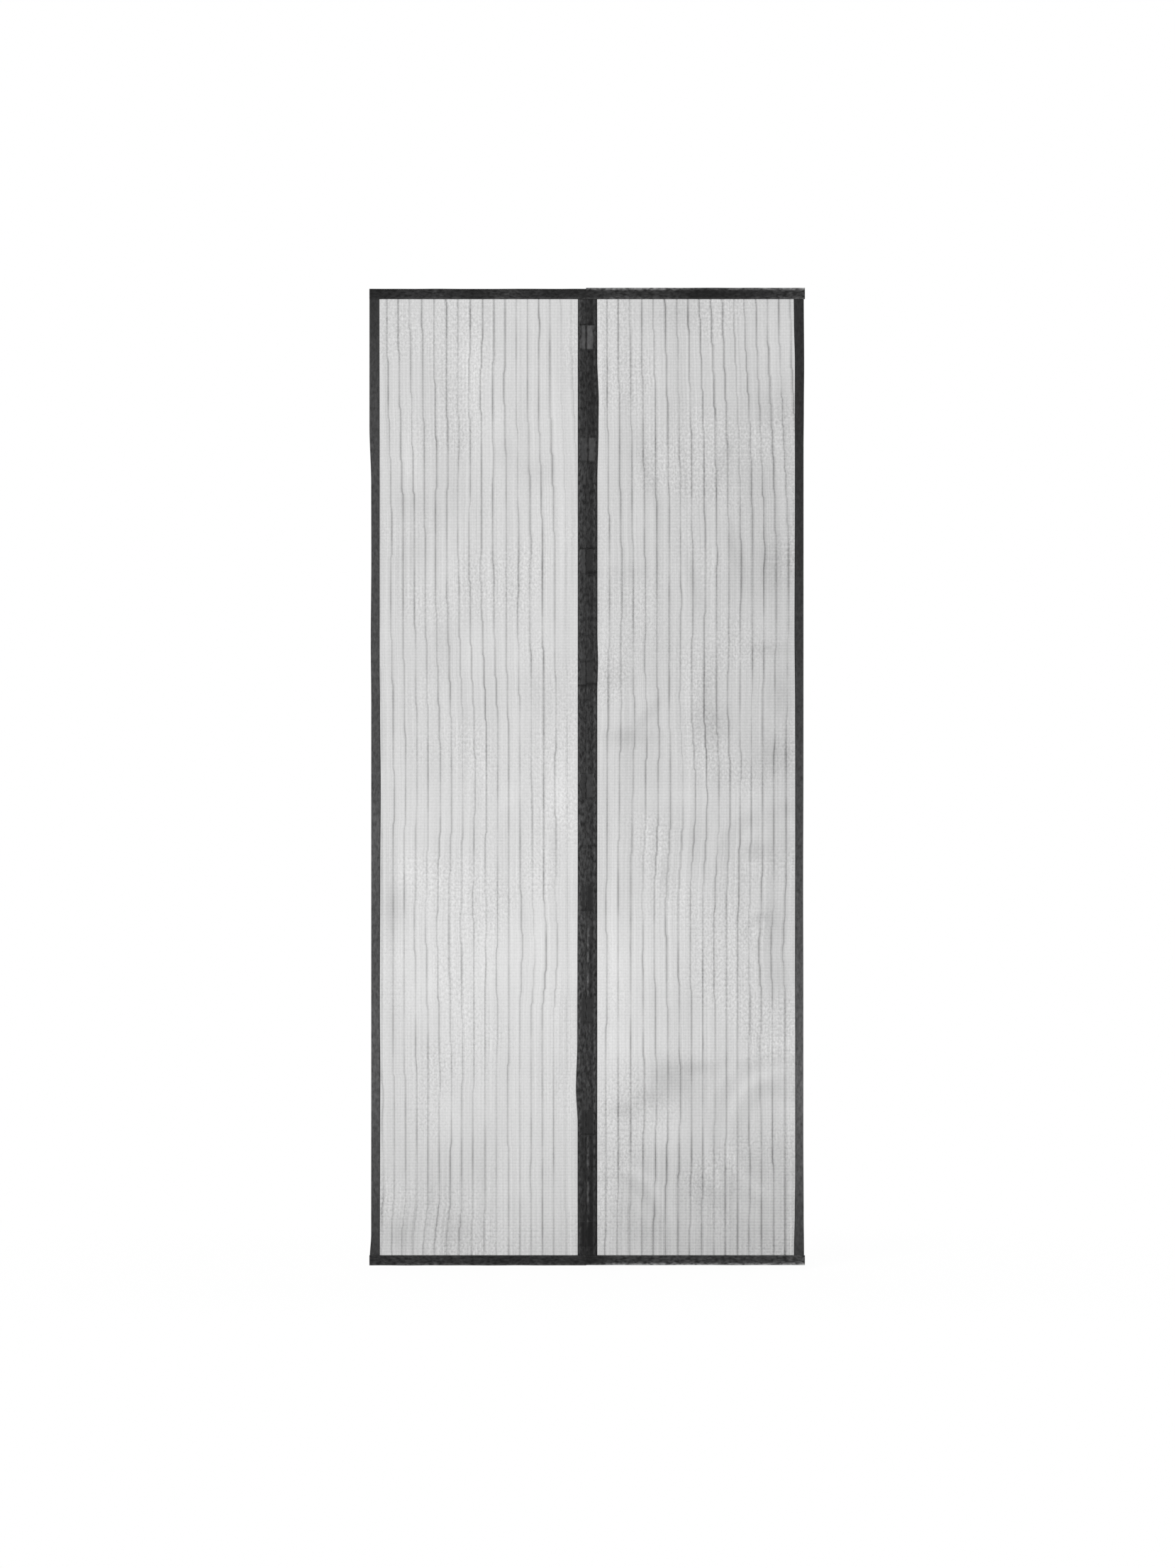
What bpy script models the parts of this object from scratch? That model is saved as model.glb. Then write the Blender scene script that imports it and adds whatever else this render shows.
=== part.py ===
"""Door insect screen: two net panels that meet edge to edge and close on magnets.

Each panel is a striped net bound all round with folded tape. The tape along the
closing line holds a row of bar magnets, each in a sewn pocket. Strips of hook and
loop tape along the head and both jambs hold the panels to the door frame.

Sizes are in metres. +X runs to the right as seen from in front, +Y to the back and
+Z up. The origin is the middle of the head strip's adhesive face.
"""

import math

import bmesh
import bpy

# Panels
PANEL_WIDTH = 0.4902
PANEL_HEIGHT = 2.1976
HEAD_STEP = 0.0024  # how much higher the right panel's head binding stands
SEAM_GAP = 0.0004  # between the folds of the two closing tapes

# Folded binding tape
TAPE_THICKNESS = 0.0006
HEAD_BINDING_WIDTH = 0.0224
HEM_BINDING_WIDTH = 0.0220
SIDE_BINDING_WIDTH = 0.0185
SIDE_INSET = 0.0044  # from the end of the head binding in to the side binding's fold
END_MARGIN = 0.0072  # from a head or hem binding's fold to the ends of what it wraps
SWELL_RAMP = 0.0080  # over which a cross binding closes down from the upright tape to the net
FOLD_STEPS = 4

# Striped net
NET_THICKNESS = 0.0005
NET_TUCK = 0.0042  # how far the net runs into each tape
RIB_COUNT = 17
RIB_WIDTH = 0.0011
RIB_THICKNESS = 0.0011
WALES_PER_BAY = 2
WALE_WIDTH = 0.0006
WALE_THICKNESS = 0.0008

# Bar magnets and their pockets
MAGNET_COUNT = 9
MAGNET_LENGTH = 0.0500
MAGNET_WIDTH = 0.0110
MAGNET_THICKNESS = 0.0025
MAGNET_EDGE = 0.0004  # rounding of the magnet's edges
MAGNET_SETBACK = 0.0038  # from the closing fold to the magnet's edge
POCKET_SEAM_WIDTH = 0.0025  # between the magnet and the net's edge
FIRST_MAGNET_DROP = 0.0626  # from the head binding down to the first magnet
LAST_MAGNET_RISE = 0.0212  # from the hem binding up to the last magnet
POCKET_SLOPE = 0.0035  # from the magnet's end to the cross seam that shuts its pocket
SEAM_PINCH = 0.0002  # half the space left between the leaves at a cross seam
EMPTY_POCKET = 0.0005  # half the space between the leaves where no magnet lies

# Hook and loop strips
LOOP_SETBACK = 0.0022  # from a binding's edges to the edges of the loop strip sewn on it
LOOP_THICKNESS = 0.0010
LOOP_EDGE = 0.0002  # rounding of the loop strip's edges
HOOK_MARGIN = 0.0010  # how far a hook strip reaches past its loop strip on each edge
HOOK_BASE = 0.0008
HOOK_HEIGHT = 0.0005
HOOK_ROWS = 5
STRIP_END_MARGIN = 0.0020
STRIP_JOINT = 0.0005  # between the head strip and each jamb strip

CLEARANCE = 0.0003  # between pieces that touch

# Depths, worked back from the adhesive face at y = 0
HOOK_THICKNESS = HOOK_BASE + HOOK_HEIGHT
LOOP_BACK_Y = -(HOOK_THICKNESS + CLEARANCE)
PANEL_BACK_Y = LOOP_BACK_Y - LOOP_THICKNESS - CLEARANCE
NET_GAP = RIB_THICKNESS / 2 + CLEARANCE  # half the space between a tape's leaves
TAPE_HALF = NET_GAP + TAPE_THICKNESS
NET_Y = PANEL_BACK_Y - TAPE_HALF
SWOLLEN_GAP = TAPE_HALF + CLEARANCE  # the same, where a cross binding wraps an upright tape
MAGNET_GAP = MAGNET_THICKNESS / 2 + CLEARANCE

# Widths that follow from what each tape holds
CLOSING_TAPE_WIDTH = MAGNET_SETBACK + MAGNET_WIDTH + POCKET_SEAM_WIDTH + NET_TUCK
HEAD_LOOP_WIDTH = HEAD_BINDING_WIDTH - 2 * LOOP_SETBACK
SIDE_LOOP_WIDTH = SIDE_BINDING_WIDTH - 2 * LOOP_SETBACK
HEAD_HOOK_WIDTH = HEAD_LOOP_WIDTH + 2 * HOOK_MARGIN
JAMB_HOOK_WIDTH = SIDE_LOOP_WIDTH + 2 * HOOK_MARGIN

# Levels
HEAD_FOOT_Z = -HEAD_BINDING_WIDTH / 2
PANEL_TOP_Z = HEAD_BINDING_WIDTH / 2
PANEL_FOOT_Z = PANEL_TOP_Z - PANEL_HEIGHT
HEM_TOP_Z = PANEL_FOOT_Z + HEM_BINDING_WIDTH
WRAPPED_TOP_Z = PANEL_TOP_Z - END_MARGIN
WRAPPED_FOOT_Z = PANEL_FOOT_Z + END_MARGIN

# Places across a panel, measured out from the closing line
CLOSING_FOLD = SEAM_GAP / 2
CLOSING_EDGE = CLOSING_FOLD + CLOSING_TAPE_WIDTH
SIDE_FOLD = PANEL_WIDTH - SIDE_INSET
SIDE_EDGE = SIDE_FOLD - SIDE_BINDING_WIDTH

LEFT = -1
RIGHT = 1
SIDE_NAMES = {LEFT: "left", RIGHT: "right"}


def clear_scene():
    for obj in list(bpy.data.objects):
        bpy.data.objects.remove(obj)


def make_material(name, colour, roughness, metallic=0.0, alpha=1.0):
    material = bpy.data.materials.new(name)
    material.use_nodes = True
    shader = material.node_tree.nodes["Principled BSDF"]
    shader.inputs["Base Color"].default_value = (*colour, 1.0)
    shader.inputs["Roughness"].default_value = roughness
    shader.inputs["Metallic"].default_value = metallic
    shader.inputs["Alpha"].default_value = alpha
    return material


def add_object(name, data, material, collection):
    obj = bpy.data.objects.new(name, data)
    collection.objects.link(obj)
    data.materials.append(material)
    return obj


def add_bevel(obj, width):
    bevel = obj.modifiers.new("Rounded edges", "BEVEL")
    bevel.width = width
    bevel.segments = 1
    bevel.limit_method = "ANGLE"


def fold_section(steps):
    """Inner face of a folded tape as (width, depth) points, from edge to edge.

    steps are (distance from the fold, half the space between the leaves), from the
    open edge inwards, and the last one is where the round of the fold starts.
    """
    centre, radius = steps[-1]
    front = [(width, -gap) for width, gap in steps]
    arc = []
    for step in range(1, FOLD_STEPS):
        turn = math.pi * step / FOLD_STEPS
        arc.append((centre - radius * math.sin(turn), -radius * math.cos(turn)))
    back = [(width, gap) for width, gap in reversed(steps)]
    return front + arc + back


def plain_section(width, gap):
    return fold_section([(width, gap), (TAPE_THICKNESS + gap, gap)])


def make_tape(name, rows, material, collection):
    """A folded tape: the open surface through rows of points, given its thickness."""
    mesh = bpy.data.meshes.new(name)
    surface = bmesh.new()
    grid = [[surface.verts.new(point) for point in row] for row in rows]
    for upper, lower in zip(grid, grid[1:]):
        for i in range(len(upper) - 1):
            surface.faces.new((upper[i], upper[i + 1], lower[i + 1], lower[i]))
    surface.normal_update()
    surface.faces.ensure_lookup_table()
    if surface.faces[0].normal.y > 0:  # the first face is on the front leaf
        bmesh.ops.reverse_faces(surface, faces=surface.faces[:])
    surface.to_mesh(mesh)
    surface.free()
    obj = add_object(name, mesh, material, collection)
    solidify = obj.modifiers.new("Tape thickness", "SOLIDIFY")
    solidify.thickness = TAPE_THICKNESS
    solidify.offset = 1
    solidify.use_even_offset = True
    return obj


def side_binding(side, material, collection):
    """The folded tape down the outer edge, tucked into the head and hem bindings."""
    section = plain_section(SIDE_BINDING_WIDTH, NET_GAP)
    rows = []
    for level in (WRAPPED_TOP_Z, WRAPPED_FOOT_Z):
        rows.append([(side * (SIDE_FOLD - w), NET_Y + d, level) for w, d in section])
    make_tape(f"{SIDE_NAMES[side]}_side_binding", rows, material, collection)


def cross_stations(side):
    """(place across the panel, half the space inside) along a head or hem binding."""
    closing_end = CLOSING_EDGE + CLEARANCE
    side_end = SIDE_EDGE - CLEARANCE
    return [
        (CLOSING_FOLD, SWOLLEN_GAP),
        (closing_end, SWOLLEN_GAP),
        (closing_end + SWELL_RAMP, NET_GAP),
        (side_end - SWELL_RAMP, NET_GAP),
        (side_end, SWOLLEN_GAP),
        (PANEL_WIDTH, SWOLLEN_GAP),
    ]


def head_binding_width(side):
    """The right panel's head binding stands higher than the left one's."""
    return HEAD_BINDING_WIDTH + (HEAD_STEP if side == RIGHT else 0.0)


def head_binding(side, material, collection):
    width = head_binding_width(side)
    fold_z = HEAD_FOOT_Z + width
    rows = []
    for across, gap in cross_stations(side):
        section = plain_section(width, gap)
        rows.append([(side * across, NET_Y + d, fold_z - w) for w, d in section])
    make_tape(f"{SIDE_NAMES[side]}_head_binding", rows, material, collection)


def hem_binding(side, material, collection):
    rows = []
    for across, gap in cross_stations(side):
        section = plain_section(HEM_BINDING_WIDTH, gap)
        rows.append([(side * across, NET_Y + d, PANEL_FOOT_Z + w) for w, d in section])
    make_tape(f"{SIDE_NAMES[side]}_hem_binding", rows, material, collection)


def magnet_levels():
    """Heights of the magnets' middles, evenly spaced from the first to the last."""
    first = HEAD_FOOT_Z - FIRST_MAGNET_DROP - MAGNET_LENGTH / 2
    last = HEM_TOP_Z + LAST_MAGNET_RISE + MAGNET_LENGTH / 2
    pitch = (first - last) / max(1, MAGNET_COUNT - 1)
    return [first - pitch * i for i in range(MAGNET_COUNT)]


def closing_section(pocket_gap):
    """The closing tape's section, with its pocket this much open on each side."""
    pocket_outer = MAGNET_SETBACK + MAGNET_WIDTH + CLEARANCE
    pocket_inner = MAGNET_SETBACK - CLEARANCE
    pocket_seam = CLOSING_TAPE_WIDTH - NET_TUCK - CLEARANCE
    return fold_section(
        [
            (CLOSING_TAPE_WIDTH, NET_GAP),
            (pocket_seam, NET_GAP),
            (pocket_outer, pocket_gap),
            (pocket_inner, pocket_gap),
            (TAPE_THICKNESS + NET_GAP, NET_GAP),
        ]
    )


def closing_tape(side, material, collection):
    """The wide folded tape at the closing line, quilted into a pocket for each magnet."""
    stations = [(WRAPPED_TOP_Z, EMPTY_POCKET)]
    half = MAGNET_LENGTH / 2 + CLEARANCE
    for level in magnet_levels():
        stations += [
            (level + half + 2 * POCKET_SLOPE, EMPTY_POCKET),
            (level + half + POCKET_SLOPE, SEAM_PINCH),
            (level + half, MAGNET_GAP),
            (level - half, MAGNET_GAP),
            (level - half - POCKET_SLOPE, SEAM_PINCH),
            (level - half - 2 * POCKET_SLOPE, EMPTY_POCKET),
        ]
    stations.append((WRAPPED_FOOT_Z, EMPTY_POCKET))
    rows = []
    for level, pocket_gap in stations:
        section = closing_section(pocket_gap)
        rows.append([(side * (CLOSING_FOLD + w), NET_Y + d, level) for w, d in section])
    make_tape(f"{SIDE_NAMES[side]}_closing_tape", rows, material, collection)


def make_block(name, size, place, edge, material, collection):
    mesh = bpy.data.meshes.new(name)
    block = bmesh.new()
    bmesh.ops.create_cube(block, size=1.0)
    bmesh.ops.scale(block, vec=size, verts=block.verts)
    block.to_mesh(mesh)
    block.free()
    obj = add_object(name, mesh, material, collection)
    obj.location = place
    add_bevel(obj, edge)
    return obj


def magnets(side, material, collection):
    across = CLOSING_FOLD + MAGNET_SETBACK + MAGNET_WIDTH / 2
    size = (MAGNET_WIDTH, MAGNET_THICKNESS, MAGNET_LENGTH)
    for number, level in enumerate(magnet_levels(), start=1):
        name = f"{SIDE_NAMES[side]}_magnet_{number}"
        place = (side * across, NET_Y, level)
        make_block(name, size, place, MAGNET_EDGE, material, collection)


def make_extrusion(name, outline, length, material, collection):
    """A closed flat outline drawn in the local XY plane, extruded evenly along local Z."""
    curve = bpy.data.curves.new(name, "CURVE")
    curve.dimensions = "2D"
    curve.fill_mode = "BOTH"
    curve.extrude = length / 2
    spline = curve.splines.new("POLY")
    spline.points.add(len(outline) - 1)
    for point, (x, y) in zip(spline.points, outline):
        point.co = (x, y, 0.0, 1.0)
    spline.use_cyclic_u = True
    return add_object(name, curve, material, collection)


def net_ridges(start, end):
    """(place, width, thickness) of the heavy ribs and of the finer wales between them."""
    pitch = (SIDE_EDGE - CLOSING_EDGE) / RIB_COUNT
    step = pitch / (WALES_PER_BAY + 1)
    first = CLOSING_EDGE + pitch / 2
    ridges = []
    for rib in range(RIB_COUNT):
        ridges.append((first + rib * pitch, RIB_WIDTH, RIB_THICKNESS))
        for wale in range(1, WALES_PER_BAY + 1):
            ridges.append((first + rib * pitch + wale * step, WALE_WIDTH, WALE_THICKNESS))
    return [ridge for ridge in ridges if start < ridge[0] < end]


def net(side, material, collection):
    """One cloth: a thin wall with a ridge on both faces along every heavy thread."""
    start = CLOSING_EDGE - NET_TUCK
    end = SIDE_EDGE + NET_TUCK
    half = NET_THICKNESS / 2
    front = [(start, -half)]
    for place, width, thickness in net_ridges(start, end):
        front += [
            (place - width / 2, -half),
            (place - width / 4, -thickness / 2),
            (place + width / 4, -thickness / 2),
            (place + width / 2, -half),
        ]
    front.append((end, -half))
    back = [(across, -depth) for across, depth in reversed(front)]
    outline = [(side * across, depth) for across, depth in front + back]
    name = f"{SIDE_NAMES[side]}_net"
    height = WRAPPED_TOP_Z - WRAPPED_FOOT_Z
    panel = make_extrusion(name, outline, height, material, collection)
    panel.location = (0.0, NET_Y, (WRAPPED_TOP_Z + WRAPPED_FOOT_Z) / 2)


def hook_outline(width):
    """Section of a hook strip: a flat base with a row of hooks along each ridge."""
    pitch = width / HOOK_ROWS
    outline = [(width / 2, 0.0), (-width / 2, 0.0), (-width / 2, -HOOK_BASE)]
    for row in range(HOOK_ROWS):
        middle = -width / 2 + pitch * (row + 0.5)
        outline += [
            (middle - pitch / 4, -HOOK_BASE),
            (middle - pitch / 8, -HOOK_THICKNESS),
            (middle + pitch / 8, -HOOK_THICKNESS),
            (middle + pitch / 4, -HOOK_BASE),
        ]
    outline.append((width / 2, -HOOK_BASE))
    return outline


def jamb_middle():
    """Across a panel, the middle of its side binding, where the jamb strips run."""
    return (SIDE_FOLD + SIDE_EDGE) / 2


def hook_strips(material, collection):
    """The adhesive strips: one along the head, then one down each jamb."""
    length = 2 * (PANEL_WIDTH - STRIP_END_MARGIN)
    outline = hook_outline(HEAD_HOOK_WIDTH)
    head = make_extrusion("head_hook_strip", outline, length, material, collection)
    head.rotation_euler = (0.0, math.pi / 2, 0.0)
    top = -HEAD_HOOK_WIDTH / 2 - STRIP_JOINT
    foot = PANEL_FOOT_Z + STRIP_END_MARGIN
    for side, side_name in SIDE_NAMES.items():
        name = f"{side_name}_jamb_hook_strip"
        outline = hook_outline(JAMB_HOOK_WIDTH)
        strip = make_extrusion(name, outline, top - foot, material, collection)
        strip.location = (side * jamb_middle(), 0.0, (top + foot) / 2)


def loop_strips(side, material, collection):
    """The soft strips sewn behind the head and side bindings, facing the hooks."""
    middle_y = LOOP_BACK_Y - LOOP_THICKNESS / 2
    start = CLOSING_EDGE + CLEARANCE + SWELL_RAMP
    end = SIDE_EDGE - CLEARANCE - SWELL_RAMP
    size = (end - start, LOOP_THICKNESS, HEAD_LOOP_WIDTH)
    place = (side * (start + end) / 2, middle_y, 0.0)
    name = f"{SIDE_NAMES[side]}_head_loop_strip"
    make_block(name, size, place, LOOP_EDGE, material, collection)
    top = HEAD_FOOT_Z - LOOP_SETBACK
    foot = HEM_TOP_Z + LOOP_SETBACK
    size = (SIDE_LOOP_WIDTH, LOOP_THICKNESS, top - foot)
    place = (side * jamb_middle(), middle_y, (top + foot) / 2)
    name = f"{SIDE_NAMES[side]}_side_loop_strip"
    make_block(name, size, place, LOOP_EDGE, material, collection)


def main():
    clear_scene()
    collection = bpy.data.collections.new("Door insect screen")
    bpy.context.scene.collection.children.link(collection)
    net_cloth = make_material("net cloth", (0.05, 0.05, 0.05), 0.8, alpha=0.4)
    tape_cloth = make_material("binding tape", (0.04, 0.04, 0.04), 0.85)
    closing_cloth = make_material("closing tape", (0.045, 0.045, 0.045), 0.8)
    magnet_bar = make_material("magnet", (0.03, 0.03, 0.03), 0.55, metallic=0.3)
    hook_tape = make_material("hook tape", (0.03, 0.03, 0.03), 0.5)
    loop_tape = make_material("loop tape", (0.035, 0.035, 0.035), 0.95)
    for side in SIDE_NAMES:
        net(side, net_cloth, collection)
        side_binding(side, tape_cloth, collection)
        head_binding(side, tape_cloth, collection)
        hem_binding(side, tape_cloth, collection)
        closing_tape(side, closing_cloth, collection)
        magnets(side, magnet_bar, collection)
        loop_strips(side, loop_tape, collection)
    hook_strips(hook_tape, collection)


if __name__ == "__main__":
    main()
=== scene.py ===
"""Door insect screen: two striped net panels bound in folded tape, closing on magnets.

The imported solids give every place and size. Each soft piece is modelled here again as
cloth: the nets with their ribs, the folded bindings, the quilted closing tapes, the
stitching and the loop strips. Lengths are in metres, +X is to the right as seen from in
front, +Y to the back and +Z up.
"""

import logging
import math
from bisect import bisect
from dataclasses import dataclass, field
from enum import Enum
from typing import Any, Callable, Iterable, Optional, Sequence, Union

import bpy
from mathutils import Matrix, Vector, noise


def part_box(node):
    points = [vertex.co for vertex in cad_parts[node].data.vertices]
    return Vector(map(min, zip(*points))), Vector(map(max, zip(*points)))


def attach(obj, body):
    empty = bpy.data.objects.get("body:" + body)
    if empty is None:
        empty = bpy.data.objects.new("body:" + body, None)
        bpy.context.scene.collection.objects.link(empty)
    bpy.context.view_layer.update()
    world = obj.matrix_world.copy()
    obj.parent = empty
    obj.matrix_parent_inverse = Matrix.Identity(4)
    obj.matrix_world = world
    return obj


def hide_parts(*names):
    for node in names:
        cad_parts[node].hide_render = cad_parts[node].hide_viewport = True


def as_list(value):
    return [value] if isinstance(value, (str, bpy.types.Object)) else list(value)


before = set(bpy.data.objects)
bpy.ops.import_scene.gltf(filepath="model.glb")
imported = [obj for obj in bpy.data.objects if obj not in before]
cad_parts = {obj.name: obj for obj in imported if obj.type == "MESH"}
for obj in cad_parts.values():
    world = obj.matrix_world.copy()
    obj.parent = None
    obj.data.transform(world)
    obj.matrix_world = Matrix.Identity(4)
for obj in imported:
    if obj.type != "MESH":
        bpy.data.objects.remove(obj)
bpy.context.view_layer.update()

logging.basicConfig(level=logging.INFO, format="%(message)s")
log = logging.getLogger("insect screen")

Stop = tuple[float, float]
Colour = tuple[float, float, float]


class Side(Enum):
    """Which of the two panels, and the way out from the closing line."""

    LEFT = -1
    RIGHT = 1

    @property
    def word(self) -> str:
        """The panel's name as the nodes have it."""
        return self.name.lower()


class Leaf(Enum):
    """The two leaves of a folded tape, and the way each faces along Y."""

    FRONT = -1
    BACK = 1


class Hold(Enum):
    """How a cloth is held."""

    HUNG = "hung"
    FOLDED = "folded"


# Small sums

SCREEN_FOOT = 0.04045
SCREEN_SLOPE = 12.92
SCREEN_LIFT = 0.055
SCREEN_POWER = 2.4
SHEEN_LIGHT = 0.012
DARKEST_DYE = 0.004
SEED_STEP = 7.31


def eased(share: float) -> float:
    """A share from 0 to 1, eased at both ends."""
    share = min(1.0, max(0.0, share))
    return share * share * (3.0 - 2.0 * share)


def follow(stops: Sequence[Stop], place: float) -> float:
    """Reads an eased line through stops.

    Args:
        stops: (place, amount) pairs, with the places rising.
        place: Where to read the line.

    Returns:
        The amount there; beyond the ends, the end's own amount.
    """
    if place <= stops[0][0]:
        return stops[0][1]
    for (start, before), (end, after) in zip(stops, stops[1:]):
        if place <= end:
            return before + (after - before) * eased((place - start) / (end - start))
    return stops[-1][1]


def linear(level: float) -> float:
    """The light that a grey on the screen stands for.

    Args:
        level: The grey's screen level, out of 255.

    Returns:
        Its light, where 1 is white.
    """
    share = level / 255.0
    if share <= SCREEN_FOOT:
        return share / SCREEN_SLOPE
    return ((share + SCREEN_LIFT) / (1.0 + SCREEN_LIFT)) ** SCREEN_POWER


def painted_lightness(level: float, mixed: float) -> float:
    """How light a tape is painted against its mixed level, to look this level with its sheen; the
    level carries the tape's tone together with the painted light and shade laid on it.
    """
    return max(DARKEST_DYE, linear(level) - SHEEN_LIGHT) / linear(mixed)


def near(away: float, half: float) -> float:
    """1 where away is 0, easing down to 0 at half on either side."""
    return eased(1.0 - abs(away) / half)


def waver(place: float, pace: float, seed: float, twin: float = 0.0) -> float:
    """A smooth wander between about -1 and 1 along a length, the same on each run."""
    return noise.noise(Vector((place * pace, twin, seed * SEED_STEP)))


def rumple(over: float, down: float, pace: Stop, seed: float) -> float:
    """A smooth wander between about -1 and 1 over a surface, the same on each run."""
    return noise.noise(Vector((over * pace[0], down * pace[1], seed)))


def snapped(place: float, grid: float, jog: float) -> float:
    """A place drawn to the nearest line of a grid, changing lines by a short jog."""
    whole = math.floor(place / grid)
    return grid * (whole + eased((place / grid - whole - 0.5) / jog + 0.5))


def spread(start: float, end: float, step: float) -> list[float]:
    """Even places from start to end, both among them, at most step apart."""
    count = max(1, math.ceil(abs(end - start) / step))
    return [start + (end - start) * i / count for i in range(count + 1)]


# Shader workshop


class Value:
    """A number socket of a finish, on which plain arithmetic adds Math nodes."""

    def __init__(self, recipe: "Recipe", socket: bpy.types.NodeSocket) -> None:
        """Keeps the socket and the recipe it belongs to."""
        self.recipe = recipe
        self.socket = socket

    def _with(self, operation: str, *terms: "Term") -> "Value":
        """One Math node on this value and the other terms."""
        return self.recipe.math(operation, self, *terms)

    def __add__(self, other: "Term") -> "Value":
        """Adds another value or number."""
        return self._with("ADD", other)

    def __sub__(self, other: "Term") -> "Value":
        """Takes another value or number away."""
        return self._with("SUBTRACT", other)

    def __mul__(self, other: "Term") -> "Value":
        """Multiplies by another value or number."""
        return self._with("MULTIPLY", other)

    def __truediv__(self, other: "Term") -> "Value":
        """Divides by another value or number."""
        return self._with("DIVIDE", other)

    def __pow__(self, other: "Term") -> "Value":
        """Raises to a power."""
        return self._with("POWER", other)

    def __rsub__(self, other: "Term") -> "Value":
        """A number or value less this one."""
        return self.recipe.math("SUBTRACT", other, self)

    __radd__ = __add__
    __rmul__ = __mul__

    def sine(self) -> "Value":
        """Its sine, from -1 to 1."""
        return self._with("SINE")

    def size(self) -> "Value":
        """Its size without the sign."""
        return self._with("ABSOLUTE")

    def fraction(self) -> "Value":
        """What is left over a whole number."""
        return self._with("FRACT")

    def whole(self) -> "Value":
        """The whole number below it."""
        return self._with("FLOOR")

    def at_least(self, other: "Term") -> "Value":
        """The larger of it and the other."""
        return self._with("MAXIMUM", other)

    def ramp(self, start: float, end: float, low: float = 0.0, high: float = 1.0) -> "Value":
        """Eases from low to high as this value goes from start to end.

        Args:
            start: The value at which the result is low.
            end: The value at which the result is high.
            low: The result at start and before it.
            high: The result at end and past it.

        Returns:
            The eased value.
        """
        node = self.recipe.node(
            "ShaderNodeMapRange",
            {"interpolation_type": "SMOOTHSTEP"},
            {"Value": self, "From Min": start, "From Max": end, "To Min": low, "To Max": high},
        )
        return Value(self.recipe, node.outputs["Result"])


Term = Union[Value, float, int]
CLOUD_GRAIN = 0.55
TURN = 2.0 * math.pi


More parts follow.
